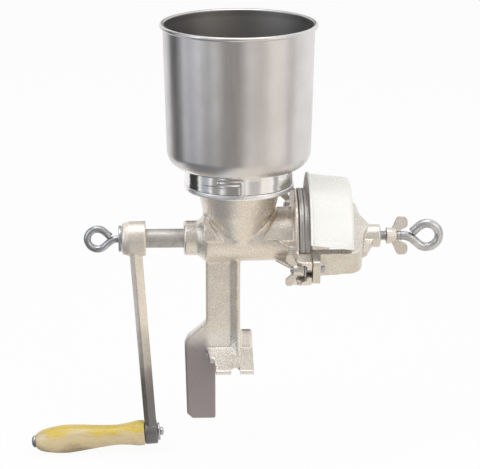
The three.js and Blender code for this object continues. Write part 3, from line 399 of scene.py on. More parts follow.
def sliced(piece: Piece, point: Sequence[float], outward: Sequence[float]) -> Piece:
    """Cuts off what lies on the outward side of a plane, and closes the cut.

    Args:
        piece: The piece to cut.
        point: Any point of the plane.
        outward: The plane's normal, towards what goes.

    Returns:
        The piece.
    """
    with editing(piece):
        bpy.ops.mesh.bisect(plane_co=point, plane_no=outward, use_fill=True, clear_outer=True)
    return piece


def trimmed(piece: Piece, first: Sequence[float], second: Sequence[float], plane: str = "xz") -> Piece:
    """Cuts along the line from one point to another, and keeps what is left of that line.

    Args:
        piece: The piece to cut.
        first: First point of the line, in the plane's own two coordinates.
        second: Second point of the line.
        plane: The two coordinates that the points hold.

    Returns:
        The piece.
    """
    (u0, v0), (u1, v1) = first, second
    axes = {"x": 0, "y": 1, "z": 2}
    point, outward = [0.0, 0.0, 0.0], [0.0, 0.0, 0.0]
    for name, place, side in zip(plane, (u0, v0), (v1 - v0, u0 - u1)):
        point[axes[name]] = place
        outward[axes[name]] = side
    return sliced(piece, point, Vector(outward).normalized())


def joined(*pieces: Piece) -> Piece:
    """Several pieces as one object, each with its own shell.

    Args:
        pieces: What to join.

    Returns:
        The one object.
    """
    activate(*pieces)
    bpy.ops.object.join()
    return bpy.context.object


def fused(pieces: Sequence[Piece], voxel: float, passes: int) -> Piece:
    """Pieces grown together as in one casting, with soft fillets between them.

    Args:
        pieces: Closed pieces that run into each other.
        voxel: Grain of the new surface.
        passes: How often the surface is smoothed.

    Returns:
        The casting.
    """
    casting = joined(*pieces)
    modified(casting, "REMESH", mode="VOXEL", voxel_size=voxel)
    return modified(casting, "SMOOTH", factor=0.5, iterations=passes)


def combined(piece: Piece, operation: str, *tools: Piece) -> Piece:
    """Boolean of a piece with each tool in turn; the tools are deleted.

    Args:
        piece: The piece to change.
        operation: Blender's name of the boolean.
        tools: What it is combined with.

    Returns:
        The piece.
    """
    for tool in tools:
        modified(piece, "BOOLEAN", operation=operation, solver="EXACT", object=tool)
        bpy.data.objects.remove(tool)
    return piece


def cut(piece: Piece, *tools: Piece) -> Piece:
    """Takes each tool's shape out of the piece."""
    return combined(piece, "DIFFERENCE", *tools)


def common(piece: Piece, tool: Piece) -> Piece:
    """What a piece has in common with a tool."""
    return combined(piece, "INTERSECT", tool)


def rounded(piece: Piece, width: float, segments: int = 3, angle: float = 30) -> Piece:
    """Rounds every edge that is sharper than an angle.

    Args:
        piece: The piece to change.
        width: Width of the rounding.
        segments: Faces across it.
        angle: Least angle of a rounded edge, in degrees.

    Returns:
        The piece.
    """
    return modified(
        piece, "BEVEL", width=width, segments=segments, limit_method="ANGLE",
        angle_limit=math.radians(angle), use_clamp_overlap=True,
    )


def copied(piece: Piece, matrix: Matrix) -> Piece:
    """Copy of a piece at another place, with a mesh of its own.

    Args:
        piece: The piece to copy.
        matrix: Where the copy goes.

    Returns:
        The copy.
    """
    twin = piece.copy()
    twin.data = piece.data.copy()
    bpy.context.scene.collection.objects.link(twin)
    return applied(twin, matrix)


def shift(x: float = 0, y: float = 0, z: float = 0) -> Matrix:
    """Shift by these distances."""
    return Matrix.Translation((x, y, z))


def about(axis: str, degrees: float) -> Matrix:
    """Turn about the X, Y or Z axis."""
    return Matrix.Rotation(math.radians(degrees), 4, axis)


def opposite(piece: Piece) -> Piece:
    """Copy of a piece, half a turn round the shaft."""
    return copied(piece, about("X", 180))


def thread(radius: float, start: float, end: float, pitch: float = 1.25) -> Piece:
    """Screw thread's ridge, wound right-handed on a rod along the X axis.

    Args:
        radius: Radius of its crest.
        start: Where it begins along the rod.
        end: Where it ends.
        pitch: Its pitch.

    Returns:
        The ridge.
    """
    place = (radius - pitch * 0.25, 0, start)
    ridge = applied(added(
        bpy.ops.mesh.primitive_circle_add, vertices=3, radius=pitch * 0.55, location=place,
        rotation=(math.pi / 2, 0, 0),
    ))
    turns = max(1, int((end - start) / pitch))
    modified(
        ridge, "SCREW", axis="Z", angle=2 * math.pi, screw_offset=pitch, iterations=turns,
        steps=24, render_steps=24, use_merge_vertices=False,
    )
    with editing(ridge):
        close_shell()
    return applied(ridge, about("Y", 90))


def smooth_through(knots: Sequence[Level], steps: int) -> list[Level]:
    """Smooth curve through its knots.

    Args:
        knots: Points that the curve passes through.
        steps: Stretches between two knots.

    Returns:
        Points along the curve, its ends included.
    """
    ends = [knots[0], *knots, knots[-1]]
    points: list[Level] = []
    for i in range(1, len(ends) - 2):
        a, b, c, d = (Vector(p) for p in ends[i - 1:i + 3])
        for k in range(steps):
            t = k / steps
            point = 0.5 * ((2 * b) + (c - a) * t + (2 * a - 5 * b + 4 * c - d) * t * t
                           + (3 * b - a - 3 * c + d) * t * t * t)
            points.append(tuple(point))
    points.append(tuple(knots[-1]))
    return points


@dataclass
class Frame:
    """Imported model, read in millimetres about the crossing of the shaft and hopper axes.

    Attributes:
    """

    loaded: dict

    @property
    def shaft_height(self) -> float:
        """Height of the shaft's axis above the row's origin, in metres."""
        turn = next(j for j in self.loaded["joints"] if j["name"] == "crank_turn")
        return turn["pos_m"][2]

    def low(self, node: str) -> Vector:
        """Lowest corner of a node."""
        return (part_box(node)[0] - Vector((0, 0, self.shaft_height))) / MM

    def high(self, node: str) -> Vector:
        """Highest corner of a node."""
        return (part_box(node)[1] - Vector((0, 0, self.shaft_height))) / MM

    def centre(self, node: str) -> Vector:
        """Middle of a node's box."""
        return (self.low(node) + self.high(node)) / 2

    def span(self, node: str) -> Vector:
        """Size of a node's box."""
        return self.high(node) - self.low(node)

    def body_of(self, node: str) -> str:
        """Name of the body that a node belongs to."""
        bodies = self.loaded["record"]["behaviour"]["bodies"]
        return next(body for body, nodes in bodies.items() if node in nodes)

    def deliver(
        self, piece: Piece, node: str, slot: Slot, finish: bpy.types.Material, sharp: float = 32
    ) -> None:
        """Moves a finished piece into the row's frame in metres, in place of its CAD node.

        Args:
            piece: The piece, in millimetres about the axes' crossing.
            node: CAD node that it stands for.
            slot: Material slot of the record; not used.
            finish: Its material.
            sharp: Edges flatter than this angle are shaded smooth.
        """
        piece.name = piece.data.name = f"{node}_finished"
        applied(piece, shift(z=self.shaft_height) @ Matrix.Scale(MM, 4))
        bpy.ops.object.shade_smooth_by_angle(angle=math.radians(sharp))
        piece.data.materials.clear()
        piece.data.materials.append(finish)
        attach(piece, self.body_of(node))
        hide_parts(node)
        LOG.info("%s: %d faces on %s", piece.name, len(piece.data.polygons), self.body_of(node))


# ---- finishes


class ShaderTree:
    """Node tree of one new material, with short names for the nodes that the finishes use."""

    def __init__(self, name: str) -> None:
        """Starts a material with a plain principled shader.

        Args:
            name: Material's name.
        """
        self.material = bpy.data.materials.new(name)
        self.material.use_nodes = True
        self.nodes = self.material.node_tree.nodes
        self.links = self.material.node_tree.links
        self.shader = self.nodes["Principled BSDF"]
        self.place = self.nodes.new("ShaderNodeTexCoord").outputs["Object"]

    def stretched(self, scale: Sequence[float]) -> Socket:
        """Object coordinates, scaled along each axis.

        Args:
            scale: Scale along X, Y and Z.

        Returns:
            The scaled coordinates.
        """
        mapping = self.nodes.new("ShaderNodeMapping")
        mapping.inputs["Scale"].default_value = scale
        self.links.new(self.place, mapping.inputs["Vector"])
        return mapping.outputs["Vector"]

    def noise(
        self, scale: float, detail: float = 3, rough: float = 0.55, vector: Socket | None = None
    ) -> Socket:
        """Noise on the object's own coordinates, from 0 to 1.

        Args:
            scale: How fine it is.
            detail: How many finer layers it has.
            rough: Share of the finer layers.
            vector: Other coordinates, if any.

        Returns:
            The noise.
        """
        noise = self.nodes.new("ShaderNodeTexNoise")
        noise.inputs["Scale"].default_value = scale
        noise.inputs["Detail"].default_value = detail
        noise.inputs["Roughness"].default_value = rough
        self.links.new(vector or self.place, noise.inputs["Vector"])
        return noise.outputs["Fac"]

    def remap(
        self, value: Socket, low: float, high: float, out_low: float = 0, out_high: float = 1
    ) -> Socket:
        """Stretches one range of a value on to another, with soft ends.

        Args:
            value: What to stretch.
            low: Start of its range.
            high: End of its range.
            out_low: What the start becomes.
            out_high: What the end becomes.

        Returns:
            The new value.
        """
        span = self.nodes.new("ShaderNodeMapRange")
        span.interpolation_type = "SMOOTHSTEP"
        for key, number in zip(("From Min", "From Max", "To Min", "To Max"), (low, high, out_low, out_high)):
            span.inputs[key].default_value = number
        self.links.new(value, span.inputs["Value"])
        return span.outputs["Result"]

    def put(self, socket: Socket, value: Socket | Colour | float) -> None:
        """Links a value that varies to a socket, or sets a plain colour or number on it.

        Args:
            socket: Input of one of the tree's nodes.
            value: What it gets.
        """
        if isinstance(value, bpy.types.NodeSocket):
            self.links.new(value, socket)
        else:
            socket.default_value = (*value, 1) if isinstance(value, tuple) else value

    def math(self, operation: str, first: Socket, second: Socket | float) -> Socket:
        """Sum, product, maximum or other operation on two values.

        Args:
            operation: Blender's name of the operation.
            first: First value.
            second: Second value.

        Returns:
            The result.
        """
        node = self.nodes.new("ShaderNodeMath")
        node.operation = operation
        self.links.new(first, node.inputs[0])
        self.put(node.inputs[1], second)
        return node.outputs["Value"]

    def mix(self, share: Socket, first: Colour | Socket, second: Colour | Socket) -> Socket:
        """Blend of two colours.

        Args:
            share: Share of the second colour.
            first: First colour.
            second: Second colour.

        Returns:
            The blend.
        """
        node = self.nodes.new("ShaderNodeMix")
        node.data_type = "RGBA"
        self.links.new(share, node.inputs["Factor"])
        self.put(node.inputs[6], first)
        self.put(node.inputs[7], second)
        return node.outputs[2]

    def level(self, share: Socket, first: Socket | float, second: Socket | float) -> Socket:
        """Blend of two plain values.

        Args:
            share: Share of the second value.
            first: First value.
            second: Second value.

        Returns:
            The blend.
        """
        node = self.nodes.new("ShaderNodeMix")
        self.links.new(share, node.inputs["Factor"])
        self.put(node.inputs[2], first)
        self.put(node.inputs[3], second)
        return node.outputs[0]

    def coordinate(self, name: str) -> Socket:
        """One of the object's own coordinates, in metres.

        Args:
            name: X, Y or Z.

        Returns:
            The coordinate.
        """
        split = self.nodes.new("ShaderNodeSeparateXYZ")
        self.links.new(self.place, split.inputs["Vector"])
        return split.outputs[name]

    def bump(self, height: Socket, distance: float, strength: float) -> None:
        """Adds relief on top of what the shader already has.

        Args:
            height: The relief, from 0 to 1.
            distance: Its height, in metres.
            strength: How strongly it shows.
        """
        bump = self.nodes.new("ShaderNodeBump")
        bump.inputs["Distance"].default_value = distance
        bump.inputs["Strength"].default_value = strength
        self.links.new(height, bump.inputs["Height"])
        normal = self.shader.inputs["Normal"]
        if normal.is_linked:
            self.links.new(normal.links[0].from_socket, bump.inputs["Normal"])
        self.links.new(bump.outputs["Normal"], normal)

    def feed(self, socket: str, value: Socket) -> None:
        """Links a value that varies over the surface to one of the shader's sockets."""
        self.links.new(value, self.shader.inputs[socket])

    def fix(self, socket: str, value: float | tuple[float, ...]) -> None:
        """Sets a value that is the same all over on the shader's own socket."""
        self.shader.inputs[socket].default_value = value


@dataclass(frozen=True)
class CastFinish:
    """Tinned sand casting: pebbly, with clean and dull patches and fine cool specks.

    Attributes:
        name: Material's name.
        light: Colour of the clean tin.
        warm: Colour of the duller patches.
        cool: Colour of the fine specks.
        pit: Colour at the bottom of the pits.
        metallic: How metallic the skin is.
        roughness: Least and greatest roughness.
        relief: Strength of the pebbled relief.
    """

    name: str
    light: Colour
    warm: Colour
    cool: Colour
    pit: Colour
    metallic: float = 0.85
    roughness: tuple[float, float] = (0.24, 0.4)
    relief: float = 0.5

    def build(self) -> bpy.types.Material:
        """Makes the material.

        Returns:
            The material.
        """
        tree = ShaderTree(self.name)
        patch, grain = tree.noise(38, 4, 0.6), tree.noise(520, 3, 0.7)
        pebble, speck = tree.noise(760, 3, 0.6), tree.noise(1050, 2, 0.5)
        colour = tree.mix(tree.remap(patch, 0.3, 0.7, 0.25, 0.85), self.warm, self.light)
        colour = tree.mix(tree.remap(grain, 0.48, 0.66, 0, 0.4), colour, self.cool)
        colour = tree.mix(tree.remap(speck, 0.56, 0.72, 0, 0.45), colour, self.pit)
        rough = tree.remap(grain, 0.3, 0.7, *self.roughness)
        colour, rough = self.tones_by_place(tree, patch, colour, rough)
        tree.feed("Base Color", colour)
        tree.fix("Metallic", self.metallic)
        tree.feed("Roughness", rough)
        tree.bump(pebble, 0.0005, self.relief)
        tree.bump(patch, 0.0015, self.relief * 0.6)
        return tree.material

    def tones_by_place(
        self, tree: ShaderTree, patch: Socket, colour: Socket, rough: Socket
    ) -> tuple[Socket, Socket]:
        """Colour and roughness that change with place on the casting; plain here."""
        return colour, rough


@dataclass(frozen=True)
class BodyFinish(CastFinish):
    """Casting of the body, with a turned neck flange, a painted reflection that lightens the foot and a
    painted shade that darkens the clamp plate.

    Attributes:
        clean: Colour of the painted reflection that lightens the foot and gusset.
        plate_shade: Colour of the painted shade on the clamp plate and the shoulder beside it.
        turned: Colour of the turned neck flange.
        neck: Height above which the neck is turned bright, in metres above the table seat.
    """

    # Painted reflection: near-white colour laid on the foot and gusset.
    clean: Colour = (0.95, 0.945, 0.94)
    # Painted shade: dark colour laid on the clamp plate and the shoulder beside it.
    plate_shade: Colour = (0.28, 0.235, 0.25)
    turned: Colour = (0.93, 0.93, 0.94)
    neck: float = 0.1757

    def tones_by_place(
        self, tree: ShaderTree, patch: Socket, colour: Socket, rough: Socket
    ) -> tuple[Socket, Socket]:
        """Lightens the foot with a painted reflection, darkens the plate and the shoulder beside it with a
        painted shade, and polishes the neck.

        Args:
            tree: Material's tree.
            patch: Noise of the patches.
            colour: Colour of the casting.
            rough: Its roughness.

        Returns:
            The changed colour and roughness.
        """
        wander = tree.math("MULTIPLY", tree.math("SUBTRACT", patch, 0.5), 0.016)
        height = tree.math("ADD", tree.coordinate("Z"), wander)
        side = tree.math("ADD", tree.coordinate("X"), wander)
        off_web = tree.math("ABSOLUTE", tree.coordinate("Y"), 0)
        # Painted reflection: up to half near-white on everything below 45 mm above the seat, mostly the foot
        # and gusset.
        colour = tree.mix(tree.remap(height, 0.045, 0.026, 0, 0.5), colour, self.clean)
        # Painted shade: the clamp plate below the seat and the shoulder to its left turn dark and greyer,
        # with a duller roughness.
        below = tree.math(
            "MULTIPLY", tree.remap(height, 0.014, 0.006), tree.remap(off_web, 0.0062, 0.0052)
        )
        beside = tree.math("MULTIPLY", tree.remap(side, -0.0255, -0.034), tree.remap(height, 0.042, 0.014))
        plate_shade_share = tree.math("MULTIPLY", tree.math("MAXIMUM", below, beside), 0.9)
        colour = tree.mix(plate_shade_share, colour, self.plate_shade)
        bright = tree.remap(tree.coordinate("Z"), self.neck - 0.0004, self.neck)
        rough = tree.level(plate_shade_share, rough, 0.5)
        return tree.mix(bright, colour, self.turned), tree.level(bright, rough, 0.16)


@dataclass(frozen=True)
class CrankFinish(CastFinish):
    """Casting of the crank, bright round the hub and charcoal further down.

    Attributes:
        charcoal: Colour of the lower arm and the eye.
        fade: Heights between which the colour turns charcoal, in metres above the table seat.
    """

    charcoal: Colour = (0.1, 0.1, 0.11)
    fade: tuple[float, float] = (0.05, -0.03)

    def tones_by_place(
        self, tree: ShaderTree, patch: Socket, colour: Socket, rough: Socket
    ) -> tuple[Socket, Socket]:
        """Darkens the arm towards its eye.

        Args:
            tree: Material's tree.
            patch: Noise of the patches.
            colour: Colour of the casting.
            rough: Its roughness.

        Returns:
            The changed colour and the same roughness.
        """
        wander = tree.math("MULTIPLY", tree.math("SUBTRACT", patch, 0.5), 0.06)
        height = tree.math("ADD", tree.coordinate("Z"), wander)
        dark = tree.remap(height, *self.fade, 0, 0.85)
        return tree.mix(dark, colour, self.charcoal), rough


@dataclass(frozen=True)
class SheetFinish:
    """Spun sheet steel: satin above, polished round the collar, with faint upright streaks and a painted
    shade inside the bowl.

    Attributes:
        name: Material's name.
        light: Colour of the bright sheet.
        dull: Colour of its faint blotches.
        satin: Least and greatest roughness of the bowl.
        polished: Roughness of the collar.
        collar: Heights between which the polish ends, in metres above the table seat.
        bright: Colour of the polished collar.
        inside: Colour of the inside of the bowl, a painted shade.
        bowl: Lowest and highest place of the bowl's straight wall.
        wall_r: Its outer radius at those places, in metres.
    """

    name: str = "Satin sheet steel"
    light: Colour = (0.73, 0.705, 0.7)
    dull: Colour = (0.65, 0.625, 0.615)
    satin: tuple[float, float] = (0.29, 0.35)
    polished: float = 0.14
    collar: tuple[float, float] = (0.199, 0.205)
    bright: Colour = (0.88, 0.865, 0.85)
    # Painted shade: dark colour for the inside of the bowl.
    inside: Colour = (0.28, 0.272, 0.264)
    bowl: tuple[float, float] = (0.235, 0.334)
    wall_r: tuple[float, float] = (0.068, 0.0708)

    def inner_share(self, tree: ShaderTree) -> Socket:
        """One on the inside of the bowl's straight wall and nought on its outside.

        Args:
            tree: Material's tree.

        Returns:
            The share.
        """
        (low, high), (low_r, high_r) = self.bowl, self.wall_r
        squares = [tree.math("POWER", tree.math("ABSOLUTE", tree.coordinate(axis), 0), 2) for axis in "XY"]
        radius = tree.math("SQRT", tree.math("ADD", *squares), 0)
        slope = (high_r - low_r) / (high - low)
        level = tree.math("MULTIPLY", tree.math("SUBTRACT", tree.coordinate("Z"), low), slope)
        depth = tree.math("SUBTRACT", tree.math("SUBTRACT", radius, level), low_r)
        inner = tree.remap(depth, -0.0005, -0.0009)
        return tree.math("MULTIPLY", inner, tree.remap(tree.coordinate("Z"), low, low + 0.005))

    def build(self) -> bpy.types.Material:
        """Makes the material.

        Returns:
            The material.
        """
        tree = ShaderTree(self.name)
        blotch = tree.noise(26, 3, 0.55)
        drawn = tree.noise(1, 3, 0.6, tree.stretched((240, 240, 14)))
        inner = self.inner_share(tree)
        colour = tree.mix(tree.remap(blotch, 0.35, 0.7), self.light, self.dull)
        bowl = tree.remap(tree.coordinate("Z"), *self.collar)
        # Painted shade: the inside of the bowl's wall takes the dark inside colour.
        tree.feed("Base Color", tree.mix(inner, tree.mix(bowl, self.bright, colour), self.inside))
        tree.fix("Metallic", 1.0)
        share = tree.math("ADD", tree.math("MULTIPLY", drawn, 0.6), tree.math("MULTIPLY", blotch, 0.4))
        satin = tree.remap(share, 0.35, 0.65, *self.satin)
        outside = tree.level(bowl, self.polished, satin)
        tree.feed("Roughness", tree.level(inner, outside, 0.42))
        tree.bump(drawn, 0.0001, 0.04)
        tree.bump(tree.noise(15, 2, 0.4), 0.0016, 0.06)
        ripple = tree.noise(1, 2, 0.5, tree.stretched((26, 26, 150)))
        below = tree.remap(tree.coordinate("Z"), *reversed(self.collar))
        tree.bump(tree.math("MULTIPLY", ripple, below), 0.0012, 0.45)
        return tree.material


@dataclass(frozen=True)
class PlatedFinish:
    """Plated or machined steel, cloudy and lightly scratched along the bar.

    Attributes:
        name: Material's name.
        light: Colour of the bright metal.
        cloud: Colour of its cloudy patches.
        roughness: Least and greatest roughness.
    """

    name: str = "Plated steel"
    light: Colour = (0.64, 0.64, 0.66)
    cloud: Colour = (0.42, 0.42, 0.43)
    roughness: tuple[float, float] = (0.2, 0.42)

    def build(self) -> bpy.types.Material:
        """Makes the material.

        Returns:
            The material.
        """
        tree = ShaderTree(self.name)
        cloud = tree.noise(110, 4, 0.6)
        scratch = tree.noise(1, 2, 0.6, tree.stretched((90, 1300, 1300)))
        tree.feed("Base Color", tree.mix(tree.remap(cloud, 0.35, 0.7), self.light, self.cloud))
        tree.fix("Metallic", 1.0)
        tree.feed("Roughness", tree.remap(cloud, 0.3, 0.7, *self.roughness))
        tree.bump(scratch, 0.00015, 0.16)
        tree.bump(cloud, 0.0006, 0.08)
        return tree.material


@dataclass(frozen=True)
class PlasticFinish:
    """Glossy off-white plastic with faint flow marks and scuffs.

    Attributes:
        name: Material's name.
        body: Colour of the plastic.
        scuffed: Colour where it is handled.
    """

    name: str = "Off-white moulded plastic"
    body: Colour = (0.91, 0.91, 0.875)
    scuffed: Colour = (0.88, 0.875, 0.83)

    def build(self) -> bpy.types.Material:
        """Makes the material.

        Returns:
            The material.
        """
        tree = ShaderTree(self.name)
        flow, scuff = tree.noise(28, 3, 0.5), tree.noise(700, 2, 0.6)
        tree.feed("Base Color", tree.mix(tree.remap(flow, 0.4, 0.75), self.body, self.scuffed))
        tree.feed("Roughness", tree.remap(scuff, 0.3, 0.75, 0.22, 0.34))
        tree.fix("Subsurface Weight", 0.12)
        tree.fix("Subsurface Radius", (0.004, 0.0035, 0.003))
        tree.fix("Coat Weight", 0.3)
        tree.fix("Coat Roughness", 0.12)
        tree.bump(scuff, 0.0001, 0.06)
        tree.bump(flow, 0.0015, 0.06)
        return tree.material


@dataclass(frozen=True)
class WoodFinish:
    """Turned hardwood under a yellow varnish, grain along the grip, with a painted sheen as a pale band
    along its middle and a painted shade on its underside.

    Attributes:
        axis: Height of the grip's axis, in metres above the table seat.
        name: Material's name.
        varnish: Colour of the yellow varnish on the upper side.
        bare: Colour of the pale band along the middle, a painted sheen.
        shaded: Colour of the underside, a painted shade.
        grain: Colour of the pores and the grain lines.
        bloom: Colour of the greyish bloom in the grain.
    """

    axis: float
    name: str = "Yellow varnished wood"
    varnish: Colour = (0.7, 0.5, 0.015)
    # Painted sheen: pale colour for the band along the middle.
    bare: Colour = (0.66, 0.52, 0.26)
    # Painted shade: brown colour for the underside.
    shaded: Colour = (0.34, 0.24, 0.1)
    grain: Colour = (0.36, 0.23, 0.08)
    bloom: Colour = (0.55, 0.5, 0.5)

    def build(self) -> bpy.types.Material:
        """Makes the material.

        Returns:
            The material.
        """
        tree = ShaderTree(self.name)
        patch, fleck = tree.noise(30, 3, 0.55), tree.noise(1, 2, 0.6, tree.stretched((420, 1400, 1400)))
        lines = tree.noise(1, 5, 0.65, tree.stretched((28, 420, 420)))
        pores = tree.noise(1, 2, 0.6, tree.stretched((160, 1500, 1500)))
        wander = tree.math("MULTIPLY", tree.math("SUBTRACT", patch, 0.5), 0.03)
        height = tree.math("ADD", tree.coordinate("Z"), wander)
        # Painted shade below the grip's axis, giving way to the painted sheen of the pale middle band.
        colour = tree.mix(tree.remap(height, self.axis - 0.013, self.axis - 0.004), self.shaded, self.bare)
        # Yellow varnish above the axis.
        colour = tree.mix(tree.remap(height, self.axis + 0.002, self.axis + 0.009), colour, self.varnish)
        colour = tree.mix(tree.remap(fleck, 0.48, 0.62, 0, 0.5), colour, self.bloom)
        colour = tree.mix(tree.remap(lines, 0.5, 0.72, 0, 0.45), colour, self.grain)
        colour = tree.mix(tree.remap(pores, 0.58, 0.74, 0, 0.5), colour, self.grain)
        tree.feed("Base Color", colour)
        tree.feed("Roughness", tree.remap(patch, 0.3, 0.7, 0.3, 0.48))
        tree.fix("Coat Weight", 0.5)
        tree.fix("Coat Roughness", 0.22)
        tree.bump(lines, 0.0004, 0.2)
        tree.bump(pores, 0.0002, 0.2)
        return tree.material


@dataclass
class Finishes:
    """All the finishes of the mill, each made once."""

    casting: bpy.types.Material
    body: bpy.types.Material
    crank: bpy.types.Material
    burr: bpy.types.Material
    sheet: bpy.types.Material
    plated: bpy.types.Material
    machined: bpy.types.Material
    plastic: bpy.types.Material
    wood: bpy.types.Material

    @classmethod
    def made(cls, frame: Frame) -> Finishes:
        """Builds every material.

        Args:
            frame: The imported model.

        Returns:
            The finishes.
        """
        grip_axis = frame.shaft_height + frame.centre("handle_grip").z * MM
        shaft = ("Machined shaft steel", (0.6, 0.575, 0.54), (0.48, 0.455, 0.42), (0.46, 0.6))
        tin = ((0.88, 0.815, 0.73), (0.78, 0.7, 0.6), (0.58, 0.58, 0.65), (0.38, 0.34, 0.31))
        dull_tin = ((0.79, 0.745, 0.68), (0.68, 0.62, 0.545), (0.5, 0.5, 0.56), (0.34, 0.3, 0.27))
        iron = ((0.62, 0.59, 0.555), (0.52, 0.49, 0.46), (0.43, 0.43, 0.46), (0.28, 0.26, 0.24))
        return cls(
            casting=CastFinish("Tinned casting", *dull_tin).build(),
            body=BodyFinish("Tinned body casting", *tin).build(),
            crank=CrankFinish("Tinned crank", *tin, roughness=(0.32, 0.52)).build(),
            burr=CastFinish("Burr iron", *iron, roughness=(0.34, 0.54), relief=0.2).build(),
            sheet=SheetFinish().build(),
            plated=PlatedFinish().build(),
            machined=PlatedFinish(*shaft).build(),
            plastic=PlasticFinish().build(),
            wood=WoodFinish(grip_axis).build(),
        )


# ---- sub-assemblies


@dataclass
class Hopper:
    """Spun sheet-metal hopper with a rolled rim and a bayonet collar. Sizes in millimetres."""

    frame: Frame
    collar_r: float = 50.9
    collar_h: float = COLLAR_H
    low_r: float = 67.8
    top_r: float = 70.8
    wall: float = 1.0
    bead_r: float = 2.1
    channel_rise: float = 2.2
    channel_w: float = 5.8
    channel_drop: float = 4.8
    channel_angle: float = 24.0

    def levels(self) -> list[Level]:
        """Outside, rim and inside of the hopper as one closed profile.

        Returns:
            The (radius, height) levels.
        """
        foot = self.frame.low("hopper").z
        rim = self.frame.high("hopper").z - self.bead_r
        crease, bend = foot + self.collar_h, self.low_r - self.collar_r
        outside = [
            (self.collar_r, foot), (self.collar_r, crease - 0.6), (self.collar_r - 0.5, crease),
            *((self.collar_r + bend * math.sin(a), crease + bend * (1 - math.cos(a)))
              for a in (math.pi / 2 * k / 14 for k in range(1, 15))),
            (self.top_r, rim - 6),
        ]
        bead = [
            (self.top_r + self.wall + self.bead_r * math.cos(a), rim + self.bead_r * math.sin(a))
            for a in (math.radians(-120 + 285 * k / 14) for k in range(15))
        ]
        inner = bend - self.wall
        inside = [
            (self.top_r - self.wall, rim), (self.top_r - self.wall, rim - 6),
            *((self.collar_r + inner * math.sin(a), crease + bend - inner * math.cos(a))
              for a in (math.pi / 2 * k / 14 for k in range(14, 0, -1))),
            (self.collar_r - self.wall, crease + self.wall), (self.collar_r - self.wall, foot),
            (self.collar_r, foot),
        ]
        return [*outside, *bead, *inside]

    def channel(self) -> Piece:
        """Pressed half-round channel for the bayonet peg, standing out like an upturned L.

        Returns:
            The channel, on the front.
        """
        foot, radius = self.frame.low("hopper").z, self.channel_w / 2
        middle, centre = foot + self.collar_h - self.channel_drop, self.collar_r + self.channel_rise - radius
        leg = applied(rod(2 * radius, foot, middle, Axis.Z), shift(centre))
        turn = about("Z", -self.channel_angle)
        bends = [self.knob(radius, centre, middle)]
        bends.append(copied(bends[0], turn))
        across = applied(self.arc(radius, centre, middle), turn)
        ridge = fused([across, leg, *bends], 0.35, 3)
        wall_in = 2 * (self.collar_r - self.wall + 0.2)
        cut(ridge, rod(wall_in, foot - 2, foot + self.collar_h + 6, Axis.Z))
        return applied(ridge, about("Z", -90))

    @staticmethod
    def knob(radius: float, centre: float, middle: float) -> Piece:
        """Ball that rounds one end of the channel.

        Args:
            radius: Its radius.
            centre: Its place along X.
            middle: Its height.

        Returns:
            The ball.
        """
        place = (centre, 0, middle)
        ball = bpy.ops.mesh.primitive_uv_sphere_add
        return applied(added(ball, segments=32, ring_count=16, radius=radius, location=place))

    def arc(self, radius: float, centre: float, middle: float) -> Piece:
        """Round bar bent about the hopper's axis, from the XZ plane on.

        Args:
            radius: The bar's radius.
            centre: Its distance from the axis.
            middle: Its height.

        Returns:
            The bar.
        """
        piece = applied(added(
            bpy.ops.mesh.primitive_circle_add, vertices=24, radius=radius, fill_type="NGON",
            location=(centre, 0, middle), rotation=(math.pi / 2, 0, 0),
        ))
        with editing(piece):
            angle = -math.radians(self.channel_angle)
            bpy.ops.mesh.spin(steps=10, angle=angle, center=(0, 0, 0), axis=(0, 0, 1))
            close_shell()
        return piece

    def build(self, finishes: Finishes) -> None:
        """Makes the hopper.

        Args:
            finishes: All finishes.
        """
        shell = turned(self.levels(), Axis.Z, sides=128, ring=True)
        first = self.channel()
        second = copied(first, about("Z", 180))
        hopper = joined(shell, first, second)
        self.frame.deliver(hopper, "hopper", Slot.SHEET, finishes.sheet, 38)


